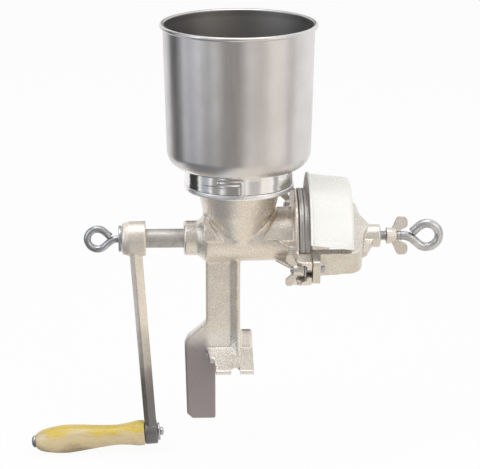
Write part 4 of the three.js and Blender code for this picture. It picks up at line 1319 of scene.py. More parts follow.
@dataclass
class Leg:
    """Leg with its clamp plate, cross rib, gusset and saddle foot. Sizes in millimetres."""

    frame: Frame
    left: float = -31.7
    right: float = 0.9
    web_half: float = 4.75
    rib_t: float = 4.6
    rib_half: float = 12.0
    barrel_r: float = 23.0
    cove: tuple[float, float] = (-7.8, 11.2)
    plate_left: float = -52.3
    plate_drop: float = 53.7
    shoulder_rise: float = 44.5
    edge_x: float = -22.8
    foot_left: float = -31.0
    foot_right: float = 13.1
    foot_step: float = 2.6
    foot_ridge: float = 18.6
    foot_half: float = 32.0
    foot_t: float = 3.6
    toe_w: float = 7.0
    notch: tuple[float, float, float] = (-4.5, 4.2, 10.0)
    gusset_h: float = 15.5
    gusset_right: float = 12.6

    @property
    def seat(self) -> float:
        """Height of the table seat."""
        return -self.frame.shaft_height / MM

    def web(self) -> Piece:
        """Leg web, clamp plate and gusset as one flat outline.

        Returns:
            The plate.
        """
        shoulder, bottom = self.seat + self.shoulder_rise, self.seat - self.plate_drop
        ridge, left, edge = self.seat + self.foot_ridge, self.plate_left, self.edge_x
        return plate([
            (self.left, -8), (self.left, shoulder, 6), (left + 3, shoulder - 14.5, 5), (left, shoulder - 22),
            (left + 2, bottom + 5), (left + 7.5, bottom), (edge - 1, bottom), (edge, bottom + 1),
            (edge, self.seat), (self.foot_right, self.seat), (self.foot_right, ridge - 1),
            (self.gusset_right, ridge + self.gusset_h, 1.5), (self.right - 1, ridge + self.gusset_h),
            (self.right - 1, -8),
        ], -self.web_half, self.web_half)

    def rib(self) -> Piece:
        """Cross rib along the leg's right edge, wide at both ends and waisted between.

        Returns:
            The rib.
        """
        foot, top = self.seat + self.foot_ridge - 2, 4 - self.barrel_r
        middle, wide, slim = (foot + top) / 2, self.rib_half + 3, self.rib_half - 1
        knots = [
            (foot, wide), (middle - 12, slim + 0.8), (middle, slim), (middle + 12, slim + 0.8),
            (top, wide - 1),
        ]
        side = [(y, z) for z, y in smooth_through(knots, 5)]
        mirrored = [(-y, z) for y, z in reversed(side)]
        return plate([*side, *mirrored], self.right - self.rib_t, self.right, "yz")

    def coves(self) -> Piece:
        """Slanting fill between the web and the rib, on both sides.

        Returns:
            The fill.
        """
        (start, reach), half, end = self.cove, self.web_half, self.right - self.rib_t + 1
        foot, top = self.seat + self.foot_ridge - 3, 4 - self.barrel_r
        return plate([
            (start, -half + 0.2), (end, -reach), (end, reach), (start, half - 0.2),
        ], foot, top, "xy")

    def wing(self, side: int) -> Piece:
        """One sloping wing of the saddle foot with its toe; side is 1 at the back and -1 in front.

        Args:
            side: Which wing it is.

        Returns:
            The wing.
        """
        seat, half, web = self.seat, self.foot_half, self.web_half
        left, right, ridge = self.foot_left, self.foot_right, self.seat + self.foot_ridge
        under, toe = ridge - 1.2 * self.foot_t, half - self.toe_w
        profile = plate([
            (0, ridge), (side * web, ridge), (side * half, seat + self.foot_t), (side * half, seat),
            (side * toe, seat), (side * toe, seat + 1.4), (side * web, under), (0, under),
        ], left, right, "yz")
        corner, toe_left, step = left + self.foot_step, left + 2 * self.foot_step + 1.4, half / 2 + 1
        plan = plate([
            (left, -side), (right, -side), (right, side * (half + 1)), (toe_left + 1, side * (half + 1)),
            (toe_left, side * step), (corner, side * step), (left, side * (web + 2)),
        ], seat - 1, ridge + 1, "xy")
        return common(profile, plan)

    def notch_tools(self) -> list[Piece]:
        """Round-ended notch in the front toe, to be cut out.

        Returns:
            The tools that cut it.
        """
        (middle, r, depth), low, high = self.notch, self.seat - 3, self.seat + self.foot_ridge
        end = r - self.foot_half + depth - 2 * r
        slot = block((middle - r, -self.foot_half - 4, low), (middle + r, end, high))
        return [slot, applied(rod(2 * r, low, high, Axis.Z), shift(middle, end))]

    def parts(self) -> list[Piece]:
        """Everything that is cast on below the barrel."""
        return [self.web(), self.rib(), self.coves(), self.wing(1), self.wing(-1)]


@dataclass
class MillBody:
    """Cast body: neck, funnel, barrel, burr flange, forked lugs and leg. Sizes in millimetres."""

    frame: Frame
    bore_r: float = 18.0
    barrel_r: float = 23.0
    barrel_left: float = -33.0
    end_wall: float = 5.0
    boss_r: float = 16.5
    boss_l: float = 14.5
    flange_t: float = 3.8
    burr_r: float = 46.5
    shaft_hole_r: float = 9.3
    funnel_wall: float = 4.0
    funnel_top_r: float = 39.7
    funnel_waist_r: float = 34.0
    funnel_waist_z: float = 27.0
    funnel_foot: tuple[float, float, float] = (21.0, 24.0, 4.0)
    neck_r: float = 51.7
    neck_z: float = 49.5
    neck_t: float = 4.9
    spigot_r: float = 49.4
    spigot_h: float = 14.6
    spigot_wall: float = 3.6
    peg_angle: float = 24.0
    peg_drop: float = 3.6
    chute_rise: float = 5.8
    shoulder_rise: float = 2.6
    lug_half: float = 12.5
    lug_outer: float = 63.0
    fork_t: float = 5.5
    slot_half: float = 4.1
    cheek_t: float = 3.5
    tilt: float = BRIDGE_TILT
    voxel: float = 1.0

    @property
    def flange_right(self) -> float:
        """Face of the flange that the fixed burr lies against."""
        return self.frame.low("fixed_burr").x + BURR_LUG_L

    @property
    def flange_left(self) -> float:
        """Back of the burr flange."""
        return self.flange_right - self.flange_t

    def barrel(self) -> Piece:
        """Barrel with its crank-end boss, flared shoulder and burr flange.

        Returns:
            The barrel.
        """
        left = self.barrel_left - self.end_wall
        start, r, boss, right = left - self.boss_l, self.barrel_r, self.boss_r, self.flange_left
        return turned(softened([
            (boss - 1.4, start), (boss, start + 1.2, 0.8), (boss, left - 1, 4), (boss + 4.8, left + 4.5, 2),
            (r, self.barrel_left + 1, 3), (r - 1, right - 5, 3), (r + 4, right, 0.3),
            (self.burr_r, right, 0.8), (self.burr_r, self.flange_right, 0.8),
            (self.burr_r - 2, self.flange_right),
        ], 4), sides=96)

    def funnel(self) -> Piece:
        """Round funnel between the neck and the barrel, with its sides drawn in at the foot.

        Returns:
            The funnel, still solid.
        """
        foot_x, foot_y, foot_z = self.funnel_foot
        waist, top = self.funnel_waist_r, self.funnel_top_r
        return turned([
            (foot_x * 0.9, 0.0, foot_y * 0.98), (foot_x, foot_z, foot_y),
            (waist, self.funnel_waist_z, waist), (top, self.neck_z + 1, top),
        ], Axis.Z, sides=96)

    def chute(self) -> Piece:
        """Raised roof over the screw between the funnel and the burr flange.

        Returns:
            The roof.
        """
        (foot_x, *_), roof = self.funnel_foot, self.barrel_r + self.chute_rise
        piece = rod(2 * roof, 8, self.flange_left + 1)
        trimmed(piece, (self.funnel_waist_r + 4, roof + 1), (foot_x, 5))
        return trimmed(piece, (foot_x, 5), (self.flange_left + 1, 5))

    def shoulder(self) -> Piece:
        """Raised shoulder between the crank-end boss and the funnel.

        Returns:
            The shoulder.
        """
        (foot_x, *_), roof = self.funnel_foot, self.barrel_r + self.shoulder_rise
        left = self.barrel_left - 1
        piece = rod(2 * roof, left, -4)
        trimmed(piece, (4 - foot_x, 3), (0.5 - self.funnel_waist_r, roof + 1))
        return trimmed(piece, (left, 3), (0, 3))

    def neck(self) -> Piece:
        """Turned neck flange with the spigot that the hopper's collar slides over, and its pegs.

        Returns:
            The neck.
        """
        top, throat = self.neck_z + self.neck_t, self.spigot_r - self.spigot_wall
        spigot_top, inner = top + self.spigot_h, self.funnel_top_r - self.funnel_wall
        first = (self.funnel_top_r - 1.2, self.neck_z - 2)
        ring = turned([*softened([
            first, (self.funnel_top_r + 2, self.neck_z, 0.5), (self.neck_r, self.neck_z, 1.0),
            (self.neck_r, top, 1.0), (self.spigot_r, top, 0.2), (self.spigot_r, spigot_top, 0.8),
            (throat, spigot_top), (throat, top), (inner, self.neck_z), (inner, self.neck_z - 2),
        ], 4), first], Axis.Z, sides=128, ring=True)
        height = self.frame.low("hopper").z + COLLAR_H - self.peg_drop
        peg = rod(4, self.spigot_r - 1.8, self.neck_r, chamfer=0.4)
        turn = about("Z", -90 - self.peg_angle)
        peg = applied(peg, shift(z=height) @ turn)
        return joined(ring, peg, copied(peg, about("Z", 180)))

    def lug(self) -> list[Piece]:
        """Forked lug for one bridge bolt, on the +Y side before the bridge's tilt.

        Returns:
            Its two cheeks and two prongs.
        """
        half, left, right, outer = self.lug_half, self.flange_left, self.flange_right, self.lug_outer
        fork_right, inner = self.frame.low("bridge").x - 0.3, self.burr_r + 0.7
        side = [
            (left - 18, 18), (left - 17, self.barrel_r + 1), (left - 5, 36), (left, 36.4), (left, outer - 5),
            (left + 5, outer), (fork_right, outer), (fork_right, inner), (right, inner), (right, 24),
            (left - 2, 18),
        ]
        shells = [plate(side, low, low + self.cheek_t, "xy") for low in (-half, half - self.cheek_t)]
        for way in (-1, 1):
            near, far = way * self.slot_half, way * half
            prong = [(inner, near), (outer, near), (outer, far, 3), (inner, far)]
            shells.append(plate(prong, fork_right - self.fork_t, fork_right, "yz"))
        return shells

    def hollows(self) -> list[Piece]:
        """Funnel, barrel bore and shaft hole, to be cut out.

        Returns:
            The tools that cut them.
        """
        wall, top = self.funnel_wall, self.neck_z + 3
        foot_x, foot_y, foot_z = self.funnel_foot
        waist, funnel_top = self.funnel_waist_r - wall, self.funnel_top_r - wall
        funnel = turned([
            (foot_x - wall - 1, 0.0, foot_y - wall - 1), (foot_x - wall, foot_z, foot_y - wall),
            (waist, self.funnel_waist_z, waist), (funnel_top, top, funnel_top),
        ], Axis.Z, sides=96)
        bore = rod(2 * self.bore_r, self.barrel_left, self.flange_right + 4)
        shaft = rod(2 * self.shaft_hole_r, self.barrel_left - 40, self.barrel_left + 2)
        return [funnel, bore, shaft]

    def build(self, finishes: Finishes) -> None:
        """Makes the casting.

        Args:
            finishes: All finishes.
        """
        leg = Leg(self.frame)
        lug = [applied(shell, about("X", self.tilt)) for shell in self.lug()]
        parts = [
            self.barrel(), self.funnel(), self.chute(), self.shoulder(), *lug,
            *(opposite(shell) for shell in lug), *leg.parts(),
        ]
        body = cut(fused(parts, self.voxel, 3), *self.hollows(), *leg.notch_tools())
        self.frame.deliver(joined(body, self.neck()), "mill_body", Slot.TINNED, finishes.body, 45)


@dataclass
class FeedScrew:
    """Crankshaft with the left-handed feed screw on it. Sizes in millimetres."""

    frame: Frame
    shaft_r: float = 9.0
    tail_r: float = 8.0
    screw_r: float = 17.5
    pitch: float = 25.0
    root_t: float = 6.0
    tip_t: float = 3.4
    flight_ends: tuple[float, float] = (-29.0, 53.9)
    flat_l: float = 20.5
    flat_z: float = 7.5
    ball_pocket: tuple[float, float] = (10.1, 4.75)
    tapped_hole: tuple[float, float] = (8.6, 15.0)

    def flight(self, start: float, end: float) -> Piece:
        """Flight wound from one place to another, left-handed.

        Args:
            start: Where it begins along the shaft.
            end: Where it ends.

        Returns:
            The flight.
        """
        inner, outer = self.shaft_r - 1, self.screw_r
        flight = added(
            bpy.ops.mesh.primitive_plane_add, size=1, location=((inner + outer) / 2, 0, start),
            rotation=(math.pi / 2, 0, 0),
        )
        flight.scale = (outer - inner, self.root_t, 1)
        applied(flight)
        with editing(flight):
            mesh = bmesh.from_edit_mesh(flight.data)
            for vertex in mesh.verts:
                vertex.select = vertex.co.x > self.shaft_r
            mesh.select_flush_mode()
            bmesh.update_edit_mesh(flight.data)
            k = self.tip_t / self.root_t
            bpy.ops.transform.resize(value=(1, 1, k), center_override=(outer, 0, start))
        turns = (end - start) / self.pitch
        modified(
            flight, "SCREW", axis="Z", angle=-2 * math.pi * turns, screw_offset=end - start,
            iterations=1, steps=round(48 * turns), render_steps=round(48 * turns), use_merge_vertices=False,
        )
        with editing(flight):
            close_shell()
        return applied(flight, about("Y", 90))

    def build(self, finishes: Finishes) -> None:
        """Makes the shaft and its flight.

        Args:
            finishes: All finishes.
        """
        left, right = self.frame.low("feed_screw").x, self.frame.high("feed_screw").x
        step = self.frame.low("burr_carrier").x
        shaft = turned(softened([
            (self.shaft_r - 1, left), (self.shaft_r, left + 1, 0.3), (self.shaft_r, step, 0.4),
            (self.tail_r, step, 0.2), (self.tail_r, right, 0.6), (self.tail_r - 2, right),
        ], 3), sides=72)
        hole = rod(PIN_D + 0.4, -12, 12, Axis.Z)
        pin_x = self.frame.centre("drive_pin").x
        (pocket_d, pocket_l), (tapped_d, tapped_l) = self.ball_pocket, self.tapped_hole
        pocket = rod(pocket_d, right - pocket_l, right + 3)
        tapped = rod(tapped_d, left - 2, left + tapped_l)
        cut(shaft, applied(hole, shift(pin_x)), pocket, tapped)
        flight = self.flight(*self.flight_ends)
        flats = [self.flat(left, side) for side in (1, -1)]
        cut(shaft, *flats)
        self.frame.deliver(joined(shaft, flight), "feed_screw", Slot.PLATED, finishes.machined)

    def flat(self, left: float, side: int) -> Piece:
        """One of the two flats in the crank's hub, to be cut out."""
        low, high = sorted((side * self.flat_z, side * 12.0))
        return block((left - 2, -12, low), (left + self.flat_l, 12, high))


@dataclass
class Burrs:
    """Grinding plates with the carrier, pin and ball behind them. Sizes in millimetres."""

    frame: Frame
    burr_r: float = 46.5
    base_t: float = 2.6
    tooth_h: float = 1.8
    tooth_w: float = 3.2
    sectors: int = 8
    ridges: int = 3
    ridge_gap: float = 3.4
    land_w: float = 3.0
    fixed_bore_r: float = 19.5
    moving_bore_r: float = 13.0
    fixed_lug: tuple[float, float] = (33.0, BURR_LUG_L)
    moving_lug: tuple[float, float] = (22.0, 2.9)

    def land(self) -> Piece:
        """Flat land round the rim, as high as the ridges, on a disc's +X face at x = 0.

        Returns:
            The land.
        """
        inner, outer, top = self.burr_r - self.land_w, self.burr_r, self.tooth_h
        corners = [(inner, -1), (outer, -1), (outer, top, 0.5), (inner, top, 0.3)]
        return turned([*softened(corners, 3), (inner, -1)], sides=96, ring=True)

    def ridge_set(self, bore_r: float) -> Piece:
        """Sectors of parallel ridges inside the land, on a disc's +X face at x = 0.

        Args:
            bore_r: Radius of the burr's bore.

        Returns:
            The ridges and the land.
        """
        rim, shells = self.burr_r - self.land_w / 2, [self.land()]
        for k in range(self.ridges):
            side, inner = k * (self.tooth_w + self.ridge_gap), bore_r + 2 + 5 * k
            outer = math.sqrt(rim * rim - side * side)
            half = self.tooth_w / 2
            ridge = block((-0.4, inner, side - half), (self.tooth_h, outer, side + half))
            trimmed(ridge, (self.tooth_h, side + 0.5), (-0.4, side + half), "xz")
            trimmed(ridge, (-0.4, side - half), (self.tooth_h, side - 0.5), "xz")
            for sector in range(1, self.sectors):
                shells.append(copied(ridge, about("X", 360 * sector / self.sectors)))
            shells.append(ridge)
        return joined(*shells)

    def disc(self, start: float, bore_r: float) -> Piece:
        """Flat disc of a burr, with a rounded rim.

        Args:
            start: Where it begins along the shaft.
            bore_r: Radius of its bore.

        Returns:
            The disc.
        """
        end = start + self.base_t
        corners = [(bore_r, start), (self.burr_r, start, 0.5), (self.burr_r, end, 0.5), (bore_r, end)]
        return turned([*softened(corners, 3), (bore_r, start)], sides=96, ring=True)

    def lugs(self, radius: float, start: float, end: float, tilt: float) -> list[Piece]:
        """Pair of driving lugs on the back of a burr."""
        lug = applied(block((start, radius - 3.5, -3.5), (end, radius + 3.5, 3.5)), about("X", tilt))
        return [lug, opposite(lug)]

    def carrier(self) -> Piece:
        """Disc and hub that carry the moving burr.

        Returns:
            The carrier.
        """
        left, right = self.frame.low("burr_carrier").x, self.frame.high("burr_carrier").x
        face = left + 4.4
        carrier = turned(softened([
            (30, left), (32, left, 0.6), (32, left + 2.6, 0.8), (29, face, 1), (15.5, face, 1.5),
            (13, face + 3, 1.5), (13, right, 1), (11, right),
        ], 4), sides=96)
        bore = rod(16.6, left - 2, right + 2)
        pin_x = self.frame.centre("drive_pin").x
        hole = applied(rod(PIN_D + 0.6, -20, 20, Axis.Z), shift(pin_x))
        pocket = block((left - 1, 18.2, -3.8), (left + 2.9, 25.8, 3.8))
        return cut(carrier, bore, hole, pocket, opposite(pocket))

    def build(self, finishes: Finishes) -> None:
        """Makes the burrs, the carrier, the pin and the ball.

        Args:
            finishes: All finishes.
        """
        left, bore_r = self.frame.high("fixed_burr").x - self.tooth_h - self.base_t, self.fixed_bore_r
        lug_r, lug_l = self.fixed_lug
        teeth = applied(self.ridge_set(bore_r), shift(left + self.base_t))
        disc = self.disc(left, bore_r)
        fixed = joined(disc, teeth, *self.lugs(lug_r, left - lug_l, left + 1, BRIDGE_TILT))
        self.frame.deliver(fixed, "fixed_burr", Slot.DARK, finishes.burr)

        left, bore_r = self.frame.low("moving_burr").x + self.tooth_h, self.moving_bore_r
        lug_r, lug_l = self.moving_lug
        turn = shift(left) @ about("Z", 180)
        teeth = applied(self.ridge_set(bore_r), turn)
        back = left + self.base_t
        moving = joined(self.disc(left, bore_r), teeth, *self.lugs(lug_r, back - 1, back + lug_l, 0))
        self.frame.deliver(moving, "moving_burr", Slot.DARK, finishes.burr)

        self.frame.deliver(self.carrier(), "burr_carrier", Slot.TINNED, finishes.casting)
        pin_x, half = self.frame.centre("drive_pin").x, self.frame.span("drive_pin").z / 2
        pin = applied(rod(PIN_D, -half, half, Axis.Z, 0.5), shift(pin_x))
        self.frame.deliver(pin, "drive_pin", Slot.PLATED, finishes.plated)
        centre, radius = self.frame.centre("thrust_ball"), self.frame.span("thrust_ball").x / 2
        sphere = bpy.ops.mesh.primitive_uv_sphere_add
        ball = applied(added(sphere, segments=32, ring_count=20, radius=radius, location=centre))
        ball = modified(ball, "SUBSURF", levels=1, render_levels=1)
        self.frame.deliver(ball, "thrust_ball", Slot.PLATED, finishes.plated)


@dataclass
class WingNut:
    """Cast wing nut: the hub bears at x = 0 and the wings lean towards -X. Sizes in millimetres."""

    bore: float
    hub: float
    length: float
    span: float
    flare: float
    lobe: float
    wing_t: float = 3.4

    def wing(self) -> Piece:
        """One ear-shaped wing on the +Y side, slim at its root and round at its end.

        Returns:
            The wing.
        """
        half, tip, r, lobe = self.span / 2, -self.length - self.flare, self.hub / 2, self.lobe
        return plate([
            (-self.length * 0.5, 0), (-self.length * 0.5, r * 0.7), (tip + lobe, half, lobe * 0.42),
            (tip, half, lobe * 0.46), (tip, half - lobe, lobe * 0.4), (0.5 - self.length, r * 0.45),
            (0.5 - self.length, 0),
        ], -self.wing_t / 2, self.wing_t / 2, "xy")

    def build(self) -> Piece:
        """Makes the nut about the X axis.

        Returns:
            The nut.
        """
        r = self.hub / 2
        hub = turned(softened([
            (r - 2.6, -self.length), (r - 1.6, -self.length, 0.5), (r - 0.8, -self.length * 0.55, 3),
            (r, 0, 0.4), (r - 1.2, 0),
        ], 4), sides=48)
        wing = self.wing()
        nut = fused([hub, wing, opposite(wing)], 0.32, 3)
        return cut(nut, rod(self.bore, -self.length - self.flare - 1, 1))


@dataclass
class Bridge:
    """Cast bridge over the burrs with its bolts, washers and wing nuts. Sizes in millimetres."""

    frame: Frame
    tilt: float = BRIDGE_TILT
    bolt_r: float = 55.0
    bolt_d: float = 7.6
    arm_outer: float = 47.0
    arm_t: float = 8.5
    half: float = 12.5
    ear_outer: float = 63.0
    ear_t: float = 7.5
    reach: float = 113.0
    web_t: float = 7.5
    cone: float = 4.5
    hub_r: float = 11.0
    hub_end: float = 134.5
    boss_r: float = 12.0
    boss_l: float = 7.5
    screw_hole_d: float = 10.0
    rib_t: float = 6.0
    front_turn: float = 80.0
    back_turn: float = 60.0

    def arm(self) -> list[Piece]:
        """Half of the yoke on the +Y side: ear, arm and web as one bent bar, and its rib.

        Returns:
            The bar and its rib.
        """
        left, half = self.frame.low("bridge").x, self.half
        inner, outer, far = self.arm_outer - self.arm_t, self.arm_outer, self.ear_outer
        ear_right, web_left, bulge = left + self.ear_t, self.reach - self.web_t, self.reach + self.cone
        side = plate([
            (left, inner), (left, far), (ear_right, far, 2), (ear_right, outer + 1, 3),
            (self.reach, outer - 1, 13), (bulge, self.hub_r + 2, 3), (bulge + 5, 0), (web_left, 0),
            (web_left, inner, 5),
        ], -half - 1, half + 1, "xy")
        face = plate([
            (-1, 0.5 - half), (20, 1.5 - half), (outer, 0.8 - half), (outer, -half), (far, -half, 4),
            (far, half, 4), (outer, half), (outer, half - 0.8), (20, half - 1.5), (-1, half - 0.5),
        ], left - 1, self.hub_end, "yz")
        rib = plate([
            (bulge - 1, 0), (self.reach - 1, outer - 12), (bulge + 2, outer - 17, 4),
            (self.hub_end - 7, self.hub_r - 0.5), (self.hub_end - 7, 0),
        ], -self.rib_t / 2, self.rib_t / 2, "xy")
        return [common(side, face), rib]

    def yoke(self) -> Piece:
        """Whole bridge with its holes.

        Returns:
            The bridge, tilted as it stands.
        """
        web_left = self.reach - self.web_t
        arm = self.arm()
        hub = turned(softened([
            (self.hub_r - 1, web_left), (self.hub_r, web_left + 1), (self.hub_r, self.hub_end, 1.4),
            (self.hub_r - 3, self.hub_end),
        ], 4))
        boss = rod(2 * self.boss_r, web_left - self.boss_l, web_left + 1, chamfer=0.8)
        yoke = fused([*arm, *(opposite(half) for half in arm), hub, boss], 0.7, 3)
        screw_hole = rod(self.screw_hole_d, web_left - 20, self.hub_end + 5)
        left = self.frame.low("bridge").x
        bolt_hole = rod(self.bolt_d + 0.6, left - 3, left + self.ear_t + 3)
        bolt_hole = applied(bolt_hole, shift(y=self.bolt_r))
        cut(yoke, screw_hole, opposite(bolt_hole), bolt_hole)
        return applied(yoke, about("X", self.tilt))

    def bolt(self) -> Piece:
        """Threaded stud on the +Y side, before the bridge's tilt.

        Returns:
            The stud.
        """
        left, right = self.frame.low("bridge_bolt_back").x, self.frame.high("bridge_bolt_back").x
        core = rod(self.bolt_d - 1.1, left, right, chamfer=0.8)
        ridge = thread(self.bolt_d / 2 - 0.35, left + 1.2, right - 1.2)
        return applied(joined(core, ridge), shift(y=self.bolt_r))

    def build(self, finishes: Finishes) -> None:
        """Makes the bridge and what holds it.

        Args:
            finishes: All finishes.
        """
        tilts = {"back": about("X", self.tilt), "front": about("X", self.tilt + 180)}
        turns = {"back": self.back_turn, "front": self.front_turn}
        self.frame.deliver(self.yoke(), "bridge", Slot.TINNED, finishes.casting, 45)
        for side, tilt in tilts.items():
            bolt = applied(self.bolt(), tilt)
            self.frame.deliver(bolt, f"bridge_bolt_{side}", Slot.PLATED, finishes.plated)
            start = self.frame.low(f"washer_{side}").x
            ring = washer(outer=15, inner=self.bolt_d + 0.6, start=start, thickness=1.6)
            ring = applied(ring, tilt @ shift(y=self.bolt_r))
            self.frame.deliver(ring, f"washer_{side}", Slot.PLATED, finishes.plated)
            nut = WingNut(bore=self.bolt_d + 0.6, hub=13.5, length=10, span=32, flare=7, lobe=6).build()
            bearing = self.frame.high(f"wing_nut_{side}").x
            place = shift(bearing, self.bolt_r) @ about("X", turns[side])
            nut = applied(nut, tilt @ place)
            self.frame.deliver(nut, f"wing_nut_{side}", Slot.TINNED, finishes.casting, 45)


@dataclass
class EyeScrew:
    """Screw along +X whose rod is bent into a pear-shaped eye in the XZ plane. Sizes in millimetres.

    Attributes:
        shank_d: Thickness of the threaded shank.
        shank_l: Length of the shank, from its tip to the neck of the eye at x = 0.
        eye_d: Thickness of the bent rod.
        loop_r: Radius of the loop's middle line.
        bare: Length next to the eye that has no thread.
    """

    shank_d: float
    shank_l: float
    eye_d: float
    loop_r: float
    bare: float = 2.0

    def bent_rod(self) -> Piece:
        """The eye: the rod's end ring is extruded along the straights and spun round the bends.

        Returns:
            The eye.
        """
        reach = self.loop_r * 1.5
        spread = math.asin(self.loop_r / reach)
        strand = math.sqrt(reach * reach - self.loop_r * self.loop_r)
        bend = self.eye_d * 0.7
        free = self.eye_d * 0.5 / math.sin(2 * spread)
        rod_piece = applied(added(
            bpy.ops.mesh.primitive_circle_add, vertices=28, radius=self.eye_d / 2,
            location=(-bend - 2, 0, 0), rotation=(0, math.pi / 2, 0),
        ))
        heading = Vector((math.cos(spread), 0, -math.sin(spread)))
        back = Vector((-math.cos(spread), 0, -math.sin(spread)))
        bend_r = bend / math.tan(spread / 2)
        with editing(rod_piece):
            self.straight(Vector((2, 0, 0)))
            self.spin(Vector((-bend, 0, -bend_r)), spread, 8)
            self.straight(heading * (strand - bend))
            self.spin(Vector((reach, 0, 0)), -math.pi - 2 * spread, 40)
            self.straight(back * (strand - free))
            close_shell()
        return rounded(rod_piece, 0.5, 3, 60)

    @staticmethod
    def straight(along: Vector) -> None:
        """Extrudes the rod's end ring."""
        bpy.ops.mesh.extrude_region_move(TRANSFORM_OT_translate={"value": along})

    @staticmethod
    def spin(centre: Vector, angle: float, steps: int) -> None:
        """Spins the rod's end ring about an axis along Y."""
        bpy.ops.mesh.spin(steps=steps, angle=-angle, center=centre, axis=(0, 1, 0))

    def build(self) -> Piece:
        """Makes the screw, with its thread.

        Returns:
            The screw.
        """
        end = -self.eye_d * 0.7 - 0.5
        core = rod(self.shank_d - 1.1, -self.shank_l, end, chamfer=0.8)
        collar = rod(self.shank_d, end - self.bare, end, chamfer=0.5)
        ridge = thread(self.shank_d / 2 - 0.35, -self.shank_l + 1.2, end - self.bare - 1)
        return joined(core, collar, ridge, self.bent_rod())


@dataclass
class Adjuster:
    """Adjusting screw with its lock nut. Sizes in millimetres."""

    frame: Frame
    shank_d: float = 9.4
    eye_d: float = 8.6
    loop_r: float = 11.6
    nut_turn: float = 86.0

    def build(self, finishes: Finishes) -> None:
        """Makes the screw and the nut.

        Args:
            finishes: All finishes.
        """
        tip, end = self.frame.low("adjusting_screw").x, self.frame.high("adjusting_screw").x
        neck = end - self.loop_r * 2.5 - self.eye_d / 2
        screw = EyeScrew(self.shank_d, neck - tip, self.eye_d, self.loop_r).build()
        screw = applied(screw, shift(neck))
        self.frame.deliver(screw, "adjusting_screw", Slot.PLATED, finishes.plated)
        nut = WingNut(bore=self.shank_d + 0.6, hub=16, length=9.5, span=37, flare=11, lobe=10).build()
        place = shift(self.frame.low("lock_wing_nut").x) @ about("X", self.nut_turn)
        nut = applied(nut, place @ about("Y", 180))
        self.frame.deliver(nut, "lock_wing_nut", Slot.TINNED, finishes.casting, 45)


@dataclass
class Guard:
    """Moulded hood over the upper half of the burrs. Sizes in millimetres."""

    frame: Frame
    open_r: float = 60.0
    closed_r: float = 56.0
    wall: float = 2.2
    fillet: float = 4.5
    lip: float = 1.6
    edge_left: float = 9.0
    edge_right: float = 1.6
    half: float = 12.5
    boss_d: float = 24.6
    band: tuple[float, float] = (0.8, 5.5)

    def edge_band(self, left: float, right: float) -> Piece:
        """Raised band along the front lower edge.

        Args:
            left: The hood's left end.
            right: Its right end.

        Returns:
            The band.
        """
        rise, height = self.band
        end = right - self.fillet
        piece = turned([
            (self.open_r - 1, left + 2.6), (self.open_r + rise, left + 2.6),
            (self.closed_r + rise + 0.5, end), (self.closed_r - 1, end), (self.open_r - 1, left + 2.6),
        ], sides=160, ring=True)
        sliced(piece, (0, -20, 0), (0, 1, 0))
        trimmed(piece, (left - 4, self.edge_left), (right + 4, self.edge_right))
        trimmed(piece, (right + 4, self.edge_right + height), (left - 4, self.edge_left + height))
        return rounded(piece, 0.35, 2, 40)

    def build(self, finishes: Finishes) -> None:
        """Makes the hood: a turned shell, cut away below the bridge.

        Args:
            finishes: All finishes.
        """
        left, right = self.frame.low("burr_guard").x, self.frame.high("burr_guard").x
        hood = turned(softened([
            (2, right - self.wall), (self.closed_r - self.wall, right - self.wall, self.fillet - self.wall),
            (self.open_r - self.wall, left), (self.open_r + self.lip, left, 0.5),
            (self.open_r + self.lip, left + 2, 0.6), (self.open_r, left + 2.6, 0.4),
            (self.closed_r, right, self.fillet), (2, right),
            (2, right - self.wall),
        ], 6), sides=160, ring=True)
        beyond = self.open_r + 6
        front = block((left - 4, -beyond, -beyond), (right + 4, 0, self.edge_left + 4))
        trimmed(front, (right + 4, self.edge_right), (left - 4, self.edge_left))
        seat = self.half + 0.3
        back = applied(block((left - 4, 0, -beyond), (right + 4, beyond, seat)), about("X", BRIDGE_TILT))
        low = block((left - 4, -1, -beyond), (right + 4, beyond, 0))
        boss = rod(self.boss_d, left - 4, right + 4)
        hood = joined(rounded(cut(hood, front, back, low, boss), 0.6, 3, 40), self.edge_band(left, right))
        self.frame.deliver(hood, "burr_guard", Slot.PLASTIC, finishes.plastic)


